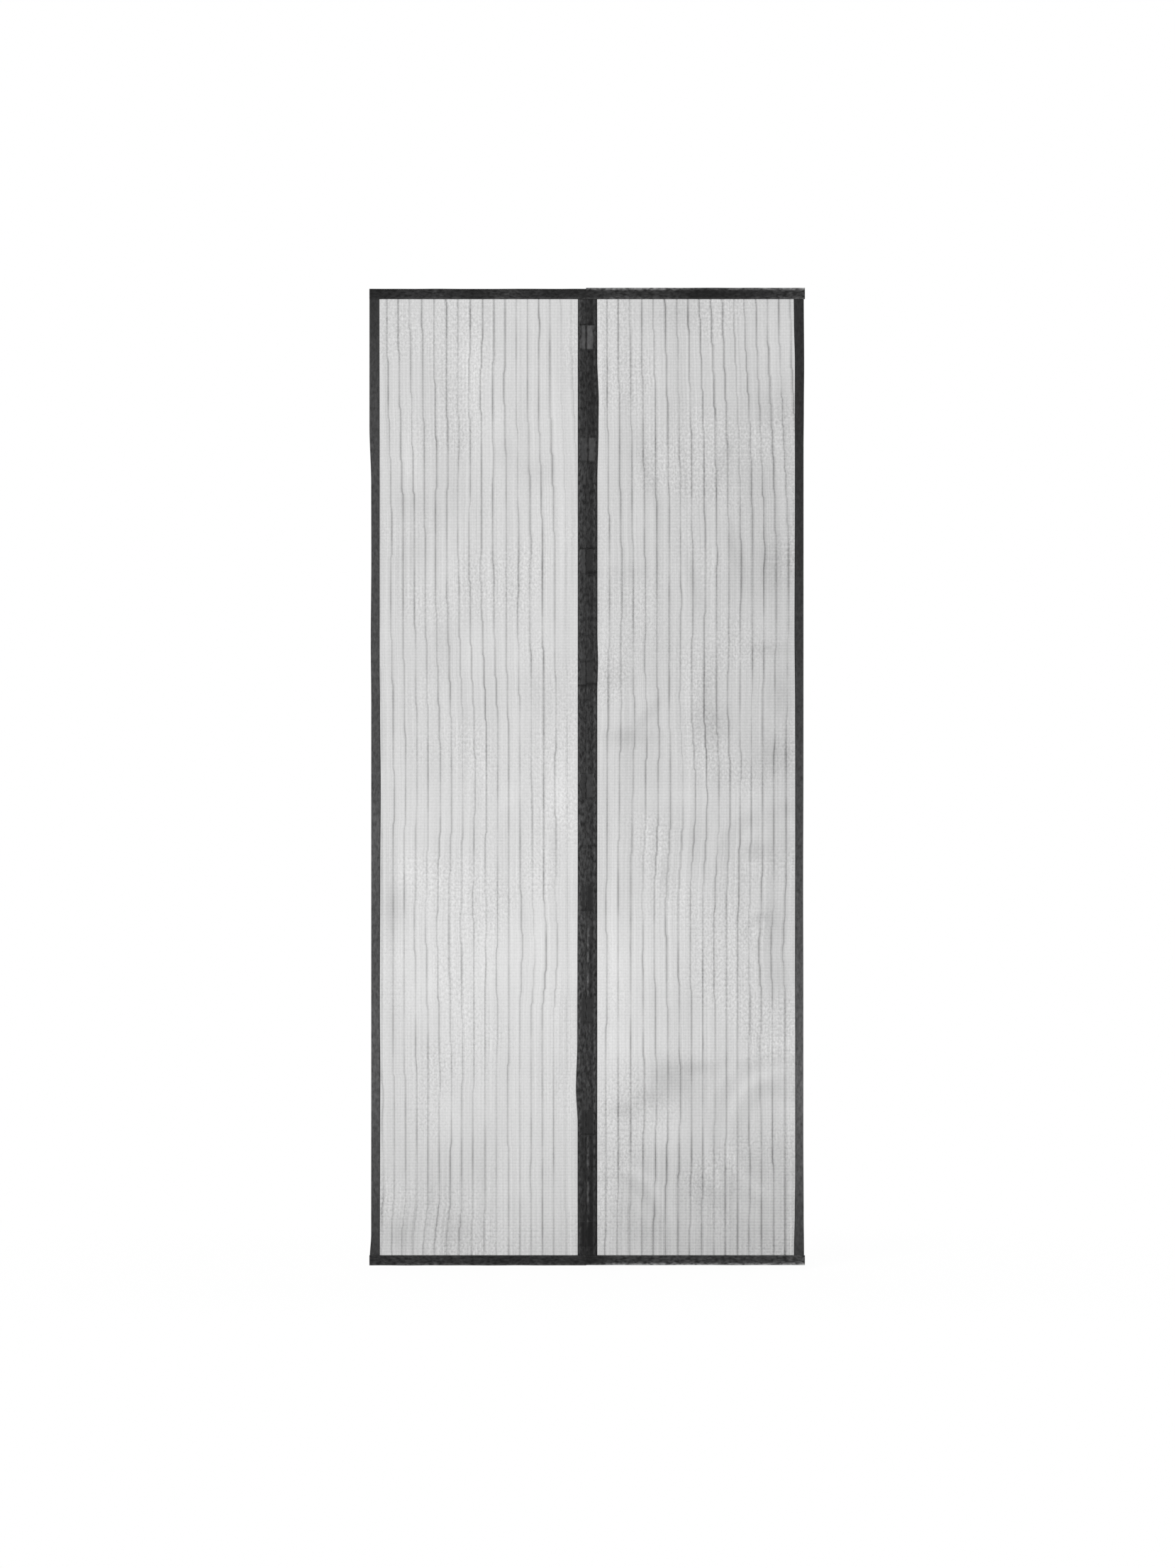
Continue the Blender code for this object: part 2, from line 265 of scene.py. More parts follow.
class Recipe:
    """The nodes of one finish, the world or the floor."""

    def __init__(self, tree: bpy.types.NodeTree) -> None:
        """Starts on an empty tree."""
        self.tree = tree
        tree.nodes.clear()

    @classmethod
    def finish(cls, name: str) -> tuple[bpy.types.Material, "Recipe"]:
        """Starts a new material.

        Args:
            name: The material's name.

        Returns:
            The material and the recipe for its nodes.
        """
        material = bpy.data.materials.new(name)
        material.use_nodes = True
        return material, cls(material.node_tree)

    def node(
        self,
        kind: str,
        settings: Optional[dict[str, Any]] = None,
        sockets: Optional[dict[Union[str, int], Any]] = None,
    ) -> bpy.types.Node:
        """Adds a node.

        Args:
            kind: The node's type.
            settings: What is set on the node before its sockets.
            sockets: A number, colour, Value or output for each input socket.

        Returns:
            The node.
        """
        node = self.tree.nodes.new(kind)
        for name, setting in (settings or {}).items():
            setattr(node, name, setting)
        for name, given in (sockets or {}).items():
            source = given.socket if isinstance(given, Value) else given
            if isinstance(source, bpy.types.NodeSocket):
                self.tree.links.new(source, node.inputs[name])
            else:
                node.inputs[name].default_value = source
        return node

    def math(self, operation: str, *terms: Term) -> Value:
        """One Math node on these terms."""
        node = self.node("ShaderNodeMath", {"operation": operation}, dict(enumerate(terms)))
        return Value(self, node.outputs[0])

    def attribute(self, name: str) -> Value:
        """A number kept on the mesh's points."""
        node = self.node("ShaderNodeAttribute", {"attribute_name": name})
        return Value(self, node.outputs["Fac"])

    def map_place(self, name: str) -> tuple[Value, Value]:
        """Reads a map of the mesh.

        Args:
            name: The map's name.

        Returns:
            Its two coordinates.
        """
        found = self.node("ShaderNodeUVMap", {"uv_map": name})
        parts = self.node("ShaderNodeSeparateXYZ", {}, {0: found.outputs[0]})
        return Value(self, parts.outputs[0]), Value(self, parts.outputs[1])

    def solid_place(self) -> tuple[Value, ...]:
        """Reads the place in the object.

        Returns:
            Its three coordinates, in metres.
        """
        found = self.node("ShaderNodeTexCoord")
        parts = self.node("ShaderNodeSeparateXYZ", {}, {0: found.outputs["Object"]})
        return tuple(Value(self, out) for out in parts.outputs)

    def vector(self, *parts: Term) -> bpy.types.NodeSocket:
        """Two or three numbers joined into a vector."""
        return self.node("ShaderNodeCombineXYZ", {}, dict(enumerate(parts))).outputs[0]

    def cloud(self, place: bpy.types.NodeSocket, scale: float, detail: float = 2.0) -> Value:
        """Smooth noise about zero.

        Args:
            place: The vector it is read at.
            scale: How many clouds there are to the unit.
            detail: How many finer layers it has.

        Returns:
            A value of about -0.3 to 0.3.
        """
        node = self.node(
            "ShaderNodeTexNoise",
            {"noise_dimensions": "3D"},
            {"Vector": place, "Scale": scale, "Detail": detail, "Roughness": CLOUD_GRAIN},
        )
        return Value(self, node.outputs[0]) - 0.5

    def patches(
        self, over: Value, down: Value, scale: Stop, layer: float, detail: float = 2.0
    ) -> Value:
        """Smooth noise about zero over a surface.

        Args:
            over: The coordinate across.
            down: The coordinate along.
            scale: How many patches there are to the unit, across and along.
            layer: Which of many such noises is read.
            detail: How many finer layers it has.

        Returns:
            A value of about -0.3 to 0.3.
        """
        place = self.vector(over * scale[0], down * scale[1], layer)
        return self.cloud(place, 1.0, detail)

    def shaded(self, colour: Colour, amount: Value) -> bpy.types.NodeSocket:
        """A colour made lighter or darker by a value."""
        sockets = {0: colour, "Scale": amount}
        return self.node("ShaderNodeVectorMath", {"operation": "SCALE"}, sockets).outputs[0]

    def bump(self, height: Value, depth: float) -> bpy.types.NodeSocket:
        """A normal roughened by a height from 0 to 1, that deep in metres."""
        node = self.node("ShaderNodeBump", {}, {"Distance": depth, "Height": height})
        return node.outputs[0]

    def between(
        self, share: Value, plain: bpy.types.Node, white: bpy.types.Node
    ) -> bpy.types.NodeSocket:
        """Two shaders mixed: all plain where the share is 0, all white where it is 1."""
        sockets = {0: share, 1: plain.outputs[0], 2: white.outputs[0]}
        return self.node("ShaderNodeMixShader", {}, sockets).outputs[0]

    def surface(self, **sockets: Any) -> bpy.types.Node:
        """The cloth or plastic itself, joined to the output.

        Args:
            **sockets: Input sockets of the surface, with _ for a space in a name.

        Returns:
            The surface's node.
        """
        named = {name.replace("_", " "): given for name, given in sockets.items()}
        shader = self.node("ShaderNodeBsdfPrincipled", {}, named)
        self.output(shader.outputs[0])
        return shader

    def output(self, shader: bpy.types.NodeSocket, kind: str = "Material") -> None:
        """Joins a shader to the tree's output."""
        self.node(f"ShaderNodeOutput{kind}", {}, {"Surface": shader})


# Finishes


@dataclass(frozen=True)
class TapeFinish:
    """Woven polyester tape: fine weft ridges, a close warp and a mottled dye."""

    name: str
    level: float
    mottle: float
    weft: float = 0.00115
    warp: float = 0.00090
    weft_bow: float = 0.0012
    weave_depth: float = 0.00022
    fleck_scale: Stop = (290.0, 95.0)
    blotch_scale: Stop = (170.0, 80.0)
    wide_scale: Stop = (40.0, 22.0)
    palest: float = 0.25
    roughness: float = 0.86

    def material(self) -> bpy.types.Material:
        """Makes the finish; its map is in metres across and along the tape.

        Returns:
            The material.
        """
        made, recipe = Recipe.finish(self.name)
        across, along = recipe.map_place("tape")
        # The lightness laid on the points: the tapes' tones, with painted light and shade on
        # folds, edges, pads, seams and creases.
        shade = recipe.attribute("shade")
        blotch = recipe.patches(across, along, self.blotch_scale, 3.0)
        wide = recipe.patches(across, along, self.wide_scale, 5.0)
        fleck = recipe.patches(across, along, self.fleck_scale, 8.0, 3.0)
        uneven = fleck * 1.8 + blotch * 2.0 + wide * 0.6
        worn = recipe.attribute("worn") * self.mottle
        dye = (1.0 + uneven * worn).at_least(self.palest)
        weft = ((along + fleck * self.weft_bow) * (TURN / self.weft)).sine()
        warp = (across * (TURN / self.warp)).sine()
        weave = weft * 0.5 + weft * warp * 0.35 + fleck * 0.9 + 0.5
        grain = 1.0 + weft * 0.10 + weft * warp * 0.06
        tone = linear(self.level)
        recipe.surface(
            Base_Color=recipe.shaded((tone, tone, tone * 1.01), shade * dye * grain),
            Roughness=self.roughness + fleck * 0.15,
            Normal=recipe.bump(weave, self.weave_depth),
            Specular_IOR_Level=0.22,
            Sheen_Weight=0.06,
            Sheen_Roughness=0.5,
        )
        return made


@dataclass(frozen=True)
class NetFinish:
    """Knitted net: open meshes, denser at each rib, uneven along the wales."""

    name: str
    thread: float = 0.034
    rib_half: float = 0.0055
    rib_extra: float = 0.18
    lacing: float = 0.0016
    mesh: tuple[float, float] = (0.0014, 0.0021)
    mesh_depth: float = 0.36
    streak: float = 0.17
    pitch: float = 0.0262
    patch_scale: Stop = (3.7, 7.0)
    wale_scale: Stop = (3.4, 1.1)
    fine_scale: Stop = (11.0, 2.6)
    cloud_scale: Stop = (9.0, 7.0)
    sand_scale: Stop = (210.0, 150.0)
    sandy_scale: Stop = (5.0, 4.0)

    def material(self) -> bpy.types.Material:
        """Makes the finish; its map counts ribs across and metres along.

        Returns:
            The material.
        """
        made, recipe = Recipe.finish(self.name)
        across, along = recipe.map_place("bays")
        x, _, z = recipe.solid_place()
        closeness = recipe.attribute("closeness")
        strength = recipe.attribute("strength")
        from_rib = ((across + 0.5).fraction() - 0.5).size() * self.pitch
        patch = recipe.patches((across + 0.5).whole(), along, self.patch_scale, 1.0)
        band = from_rib.ramp(0.0002, self.rib_half, 1.0, 0.0)
        laced = self._lacing(across, along)
        uneven = (1.0 + patch * 4.2).at_least(0.05) * strength
        rib = band * uneven * (0.55 + laced * 0.9) * self.rib_extra
        wale = recipe.patches(across, along, self.wale_scale, 5.0, 1.0)
        fine = recipe.patches(across, along, self.fine_scale, 9.0, 1.0)
        cloud = recipe.patches(x, z, self.cloud_scale, 2.0, 3.0)
        sand = recipe.patches(x, z, self.sand_scale, 7.0, 1.0)
        sandy = recipe.patches(x, z, self.sandy_scale, 12.0, 1.0).ramp(-0.05, 0.15)
        streaks = (wale * 0.6 + fine) * self.streak + cloud * 0.08 + sand * (0.09 + sandy * 0.30)
        meshes = self._meshes(x, z)
        alpha = (closeness + streaks) * (1.0 + meshes * self.mesh_depth) + rib
        tone = self.thread
        tint = recipe.shaded((tone, tone, tone), 1.0 - band * 0.15 + fine * 0.5)
        recipe.surface(
            Base_Color=tint,
            Alpha=alpha,
            Roughness=0.72 + fine * 0.2,
            Normal=recipe.bump(meshes, 0.00015),
            Specular_IOR_Level=0.3,
        )
        return made

    def _meshes(self, x: Value, z: Value) -> Value:
        """The knitted meshes.

        Args:
            x: The place across, in metres.
            z: The place up, in metres.

        Returns:
            A value about zero: high on the thread, low in the staggered holes.
        """
        wide, tall = self.mesh
        row = z / tall
        shift = row.whole() * 0.5
        over = ((x / wide + shift).fraction() - 0.5).size()
        up = (row.fraction() - 0.5).size()
        reach = (over * over + up * up) ** 0.5
        return reach.ramp(0.26, 0.48, -1.0, 1.35)

    def _lacing(self, across: Value, along: Value) -> Value:
        """The yarn that zigzags within a rib.

        Args:
            across: The rib count.
            along: Metres along.

        Returns:
            1 on the yarn and 0 beside it.
        """
        side = ((across + 0.5).fraction() - 0.5) * (self.pitch / self.lacing)
        swing = ((along / (self.lacing * 1.7)).fraction() - 0.5).size() * 2.0 - 0.5
        return (side - swing).size().ramp(0.16, 0.42, 1.0, 0.0)


@dataclass(frozen=True)
class PlaceFinish:
    """A finish of one dye, laid by the place in the piece."""

    name: str
    level: float
    tint: Colour = (1.0, 1.0, 1.0)

    def mix(self, recipe: Recipe, x: Value, y: Value, z: Value) -> dict[str, Any]:
        """The surface's sockets by name, with the dye's lightness under shade."""
        raise NotImplementedError

    def material(self) -> bpy.types.Material:
        """Makes the finish.

        Returns:
            The material.
        """
        made, recipe = Recipe.finish(self.name)
        sockets = self.mix(recipe, *recipe.solid_place())
        tone = linear(self.level)
        dye = tuple(tone * share for share in self.tint)
        recipe.surface(Base_Color=recipe.shaded(dye, sockets.pop("shade")), **sockets)
        return made


@dataclass(frozen=True)
class ThreadFinish(PlaceFinish):
    """Twisted yarn, for the ribs and the sewing."""

    twist: float = 0.0011

    def mix(self, recipe: Recipe, x: Value, y: Value, z: Value) -> dict[str, Any]:
        """The ply's ridges, and wear in patches.

        Args:
            recipe: Where its nodes go.
            x: The place across.
            y: The place to the back.
            z: The place up.

        Returns:
            The surface's sockets, with the dye's lightness under shade.
        """
        ply = ((x + z + y * 0.7) * (TURN / self.twist)).sine()
        worn = recipe.cloud(recipe.vector(x * 55.0, y * 55.0, z * 34.0), 1.0)
        return {
            "shade": 1.0 + ply * 0.18 + worn * 1.5,
            "Roughness": 0.68 + worn * 0.3,
            "Normal": recipe.bump(ply * 0.5 + 0.5, 0.00008),
            "Specular_IOR_Level": 0.3,
        }


@dataclass(frozen=True)
class PileFinish(PlaceFinish):
    """Soft loop pile: a close nap, lighter where it is brushed."""

    def mix(self, recipe: Recipe, x: Value, y: Value, z: Value) -> dict[str, Any]:
        """The nap, and where it is brushed.

        Args:
            recipe: Where its nodes go.
            x: The place across.
            y: The place to the back.
            z: The place up.

        Returns:
            The surface's sockets, with the dye's lightness under shade.
        """
        nap = recipe.cloud(recipe.vector(x, 0.0, z), 1400.0, 3.0)
        brushed = recipe.cloud(recipe.vector(x, 4.0, z), 90.0, 2.0)
        return {
            "shade": 1.0 + nap * 1.6 + brushed * 0.8,
            "Roughness": 0.93 + nap * 0.1,
            "Normal": recipe.bump(nap + 0.5, 0.0005),
            "Specular_IOR_Level": 0.15,
            "Sheen_Weight": 0.15,
        }


@dataclass(frozen=True)
class HookFinish(PlaceFinish):
    """Moulded hook tape: rows of tiny hooks on a woven base."""

    row: float = 0.0016

    def mix(self, recipe: Recipe, x: Value, y: Value, z: Value) -> dict[str, Any]:
        """The rows of hooks, and dust between them.

        Args:
            recipe: Where its nodes go.
            x: The place across.
            y: The place to the back.
            z: The place up.

        Returns:
            The surface's sockets, with the dye's lightness under shade.
        """
        turn = TURN / self.row
        hooks = (x * turn).sine() * (z * turn).sine()
        dust = recipe.cloud(recipe.vector(x, 1.0, z), 160.0, 3.0)
        return {
            "shade": 1.0 + hooks * 0.25 + dust * 1.2,
            "Roughness": 0.5 + dust * 0.4 + hooks * 0.08,
            "Normal": recipe.bump(hooks * 0.5 + 0.5, 0.0003),
            "Specular_IOR_Level": 0.4,
        }


@dataclass(frozen=True)
class MagnetFinish(PlaceFinish):
    """Pressed magnet bar: dull grey-black, with rubbed patches and fine grit."""

    tint: Colour = (1.0, 1.0, 1.03)

    def mix(self, recipe: Recipe, x: Value, y: Value, z: Value) -> dict[str, Any]:
        """The grit, and where the bar is rubbed.

        Args:
            recipe: Where its nodes go.
            x: The place across.
            y: The place to the back.
            z: The place up.

        Returns:
            The surface's sockets, with the dye's lightness under shade.
        """
        grit = recipe.cloud(recipe.vector(x, y, z), 900.0, 4.0)
        rubbed = recipe.cloud(recipe.vector(x, y, z), 110.0, 2.0)
        return {
            "shade": 1.0 + grit + rubbed * 1.2,
            "Roughness": 0.55 + rubbed * 0.5,
            "Metallic": 0.3 + rubbed * 0.5,
            "Normal": recipe.bump(grit + 0.5, 0.0001),
        }


# Mesh making


@dataclass
class Cloth:
    """Points, faces and what is kept on the points, on the way to a mesh."""

    points: list[Vector] = field(default_factory=list)
    faces: list[tuple[int, ...]] = field(default_factory=list)
    places: list[Stop] = field(default_factory=list)
    numbers: dict[str, list[float]] = field(default_factory=dict)

    def grid(
        self,
        rows: Sequence[float],
        columns: Sequence[Any],
        point: Callable[[float, Any], Vector],
        place: Callable[[float, Any], Stop],
        **numbers: Callable[[float, Any], float],
    ) -> None:
        """Lays an open sheet of quads.

        Args:
            rows: What tells one row from the next.
            columns: The same for the columns.
            point: Gives the point for a row and column.
            place: Gives its place in the map.
            **numbers: Give the numbers kept on it, each under its own name.
        """
        for row in rows:
            for column in columns:
                self.points.append(point(row, column))
                self.places.append(place(row, column))
                for name, number in numbers.items():
                    self.numbers.setdefault(name, []).append(number(row, column))
        wide = len(columns)
        for i in range(len(rows) - 1):
            for j in range(wide - 1):
                a = i * wide + j
                self.faces.append((a, a + 1, a + wide + 1, a + wide))

    def face_front(self) -> None:
        """Turns the faces over if the first of them looks to the back."""
        a, b, c, d = (self.points[i] for i in self.faces[0])
        if (c - a).cross(d - b).y > 0:
            self.faces = [tuple(reversed(face)) for face in self.faces]

    def piece(
        self,
        name: str,
        material: bpy.types.Material,
        slot: str,
        map_name: str = "tape",
        thickness: float = 0.0,
    ) -> bpy.types.Object:
        """slot: The slot that the finish stands for; not used.
            map_name: The name of its map, where it has places.
            thickness: The cloth's thickness, put on outside the faces; 0 for a film.

        Returns:
            The object, riding on the screen.
        """
        mesh = bpy.data.meshes.new(name)
        mesh.from_pydata(self.points, [], self.faces)
        if self.places:
            layer = mesh.uv_layers.new(name=map_name)
            for loop in mesh.loops:
                layer.data[loop.index].uv = self.places[loop.vertex_index]
        for kept_as, numbers in self.numbers.items():
            mesh.attributes.new(kept_as, "FLOAT", "POINT").data.foreach_set("value", numbers)
        mesh.polygons.foreach_set("use_smooth", [True] * len(mesh.polygons))
        mesh.materials.append(material)
        obj = bpy.data.objects.new(name, mesh)
        bpy.context.scene.collection.objects.link(obj)
        if thickness:
            solid = obj.modifiers.new("Cloth thickness", "SOLIDIFY")
            solid.thickness = thickness
            solid.offset = 1
        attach(obj, "root")
        triangles = sum(len(face) - 2 for face in self.faces) * (2 if thickness else 1)
        log.info("%s: about %d triangles", name, triangles)
        return obj


# Measures of the screen, read off the solids


@dataclass(frozen=True)
class Measures:
    """Places that the pieces share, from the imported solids."""

    net_y: float
    top: float
    foot: float
    wrapped_top: float
    wrapped_foot: float
    head_foot: float
    hem_top: float

    @classmethod
    def read(cls) -> "Measures":
        """Reads them off the left panel, whose foot is level with the right one's.

        Returns:
            The places.
        """
        low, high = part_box("left_net")
        head_low, head_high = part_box("left_head_binding")
        hem_low, hem_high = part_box("left_hem_binding")
        return cls(
            net_y=(low.y + high.y) / 2,
            top=head_high.z,
            foot=hem_low.z,
            wrapped_top=high.z,
            wrapped_foot=low.z,
            head_foot=head_low.z,
            hem_top=hem_high.z,
        )


# Folded tapes

TAPE_THICK = 0.0006
NET_GAP = 0.00085
SWOLLEN_GAP = 0.00175
HEM_SAG = 0.0011
LEFT_HEM_DROP = 0.0007
HEAD_DROP = 0.0007
PANEL_EDGE = 0.4902
MAGNETS = range(1, 10)
SIDE_LEVEL = 66.0
CROSS_LEVEL = 50.0
CLOSING_LEVEL = 56.0


@dataclass
class FoldedTape:
    """A tape folded over an edge, with its two leaves sewn together.

    Across is measured from the fold towards the open edge, along down an upright tape,
    or out from the closing line on a cross tape.
    """

    side: Side
    at: Measures
    finish: bpy.types.Material
    step: float = 0.004
    front_shares: tuple[float, ...] = (1.0, 0.96, 0.88, 0.74, 0.58, 0.42, 0.28, 0.16, 0.09)
    back_shares: tuple[float, ...] = (0.09, 0.22, 0.5, 0.78, 0.93, 1.0)
    fold_turns: int = 4
    pucker: float = 0.00022
    pucker_pace: Stop = (70.0, 160.0)
    swell_pace: Stop = (14.0, 50.0)
    back_share: float = 0.4
    seam: float = 0.0021
    slot: str = "binding_tape"

    def width(self, along: float) -> float:
        """From the fold to the open edge."""
        raise NotImplementedError

    def place(self, across: float, depth: float, along: float) -> Vector:
        """The point at this place, so deep behind the net's middle."""
        raise NotImplementedError

    def ends(self) -> Stop:
        """Where the tape starts and ends along its length."""
        raise NotImplementedError

    def gap(self, across: float, along: float) -> float:
        """Half the space between the leaves."""
        raise NotImplementedError

    def level(self, across: float, along: float, leaf: Leaf) -> float:
        """The tape's lightness there, its tone with painted light and shade, where 1 is the
        finish as mixed.
        """
        raise NotImplementedError

    def worn(self, across: float, along: float) -> float:
        """How uneven the dye is there, where 1 is as mixed."""
        return 1.0

    def seams(self) -> list[float]:
        """Places along the tape that are sewn across."""
        return []

    def lift(self, across: float, along: float, leaf: Leaf) -> float:
        """How far the leaf is puckered out from its gap.

        Args:
            across: How far from the fold.
            along: How far along the tape.
            leaf: Which leaf.

        Returns:
            The lift, in metres.
        """
        seed = 2.0 + self.side.value + (4.0 if leaf is Leaf.BACK else 0.0)
        rise = 0.5 + 0.5 * rumple(along, across, self.pucker_pace, seed)
        swell = 0.5 + 0.5 * rumple(along, across, self.swell_pace, seed + 9.0)
        share = self.back_share if leaf is Leaf.BACK else 1.0
        return self.pucker * share * (rise + swell)

    def depth(self, across: float, along: float, leaf: Leaf) -> float:
        """How deep the inner face of a leaf is, behind the net's middle."""
        out = self.gap(across, along) + self.lift(across, along, leaf)
        return out * leaf.value

    def surface(self, across: float, along: float, leaf: Leaf) -> Vector:
        """The point on the outer face of a leaf."""
        depth = self.depth(across, along, leaf) + leaf.value * TAPE_THICK
        return self.place(across, depth, along)

    def section(self, along: float) -> list[tuple[float, float, Leaf]]:
        """The inner face from edge to edge.

        Args:
            along: Where along the tape.

        Returns:
            (across, depth, leaf) for each point of the section.
        """
        wide = self.width(along)
        start = TAPE_THICK + NET_GAP
        points = []
        for share in self.front_shares:
            across = max(start, wide * share)
            points.append((across, self.depth(across, along, Leaf.FRONT), Leaf.FRONT))
        front = self.depth(start, along, Leaf.FRONT)
        back = self.depth(start, along, Leaf.BACK)
        for turn in range(self.fold_turns + 1):
            angle = math.pi * turn / self.fold_turns
            reach = start - (start - TAPE_THICK) * math.sin(angle)
            depth = (front + back) / 2 + (front - back) / 2 * math.cos(angle)
            leaf = Leaf.FRONT if angle < math.pi / 2 else Leaf.BACK
            points.append((reach, depth, leaf))
        for share in self.back_shares:
            across = max(start * 1.2, wide * share)
            points.append((across, self.depth(across, along, Leaf.BACK), Leaf.BACK))
        return points

    def make(self, name: str) -> bpy.types.Object:
        """Builds the tape and puts it in place of its solid.

        Args:
            name: The solid's name without the side.

        Returns:
            The cloth.
        """
        cloth = Cloth()
        rows = sorted({*spread(*self.ends(), self.step), *self.seams()})
        sections = {row: self.section(row) for row in rows}
        columns = range(len(sections[rows[0]]))

        def point(row: float, column: int) -> Vector:
            """The point of a section."""
            across, depth, _ = sections[row][column]
            return self.place(across, depth, row)

        def map_place(row: float, column: int) -> Stop:
            """Metres across, front leaf below zero, and along; each side has its own dye."""
            across, _, leaf = sections[row][column]
            return across * leaf.value + 0.5 * self.side.value, row

        def shade(row: float, column: int) -> float:
            """The tape's lightness, with its painted light and shade."""
            across, _, leaf = sections[row][column]
            return self.level(across, row, leaf)

        def worn(row: float, column: int) -> float:
            """How uneven its dye is."""
            return self.worn(sections[row][column][0], row)

        cloth.grid(rows, columns, point, map_place, shade=shade, worn=worn)
        cloth.face_front()
        node = f"{self.side.word}_{name}"
        piece = cloth.piece(f"{node}_cloth", self.finish, self.slot, thickness=TAPE_THICK)
        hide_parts(node)
        return piece


@dataclass
class UprightTape(FoldedTape):
    """A tape that runs down a panel, its fold and its edge drifting a little."""

    folds: tuple[Stop, ...] = ()
    edges: tuple[Stop, ...] = ()
    outward: int = 1

    def ends(self) -> Stop:
        """From inside the head binding down into the hem."""
        return -self.at.wrapped_top, -self.at.wrapped_foot

    def fold(self, along: float) -> float:
        """How far the fold is from the closing line."""
        return follow(self.folds, along)

    def width(self, along: float) -> float:
        """From the fold to the open edge."""
        return abs(self.fold(along) - follow(self.edges, along))

    def place(self, across: float, depth: float, along: float) -> Vector:
        """The point at this place, along counted down from the origin."""
        out = self.fold(along) - self.outward * across
        return Vector((self.side.value * out, self.at.net_y + depth, -along))


@dataclass
class SideBinding(UprightTape):
    """The folded tape down the outer edge."""

    tones: tuple[Stop, ...] = ()
    fullness: float = 0.00015
    edge_shade: float = 0.42
    edge_band: float = 0.0024
    fold_shade: float = 0.20
    fold_band: float = 0.0022

    def gap(self, across: float, along: float) -> float:
        """The net's room, a touch fuller in the middle of the tape."""
        share = across / self.width(along)
        return NET_GAP + self.fullness * math.sin(math.pi * min(1.0, share))

    def level(self, across: float, along: float, leaf: Leaf) -> float:
        """Lighter down the panel, with painted shade at the sewn edge and just inside the fold.

        Args:
            across: How far from the fold.
            along: How far along the tape.
            leaf: Which leaf.

        Returns:
            The tape's lightness, with its painted shade.
        """
        base = painted_lightness(follow(self.tones, along), SIDE_LEVEL)
        # Painted shade along the sewn edge and just inside the fold.
        edge = 1.0 - self.edge_shade * near(self.width(along) - across, self.edge_band)
        fold = 1.0 - self.fold_shade * near(across, self.fold_band)
        return base * edge * fold


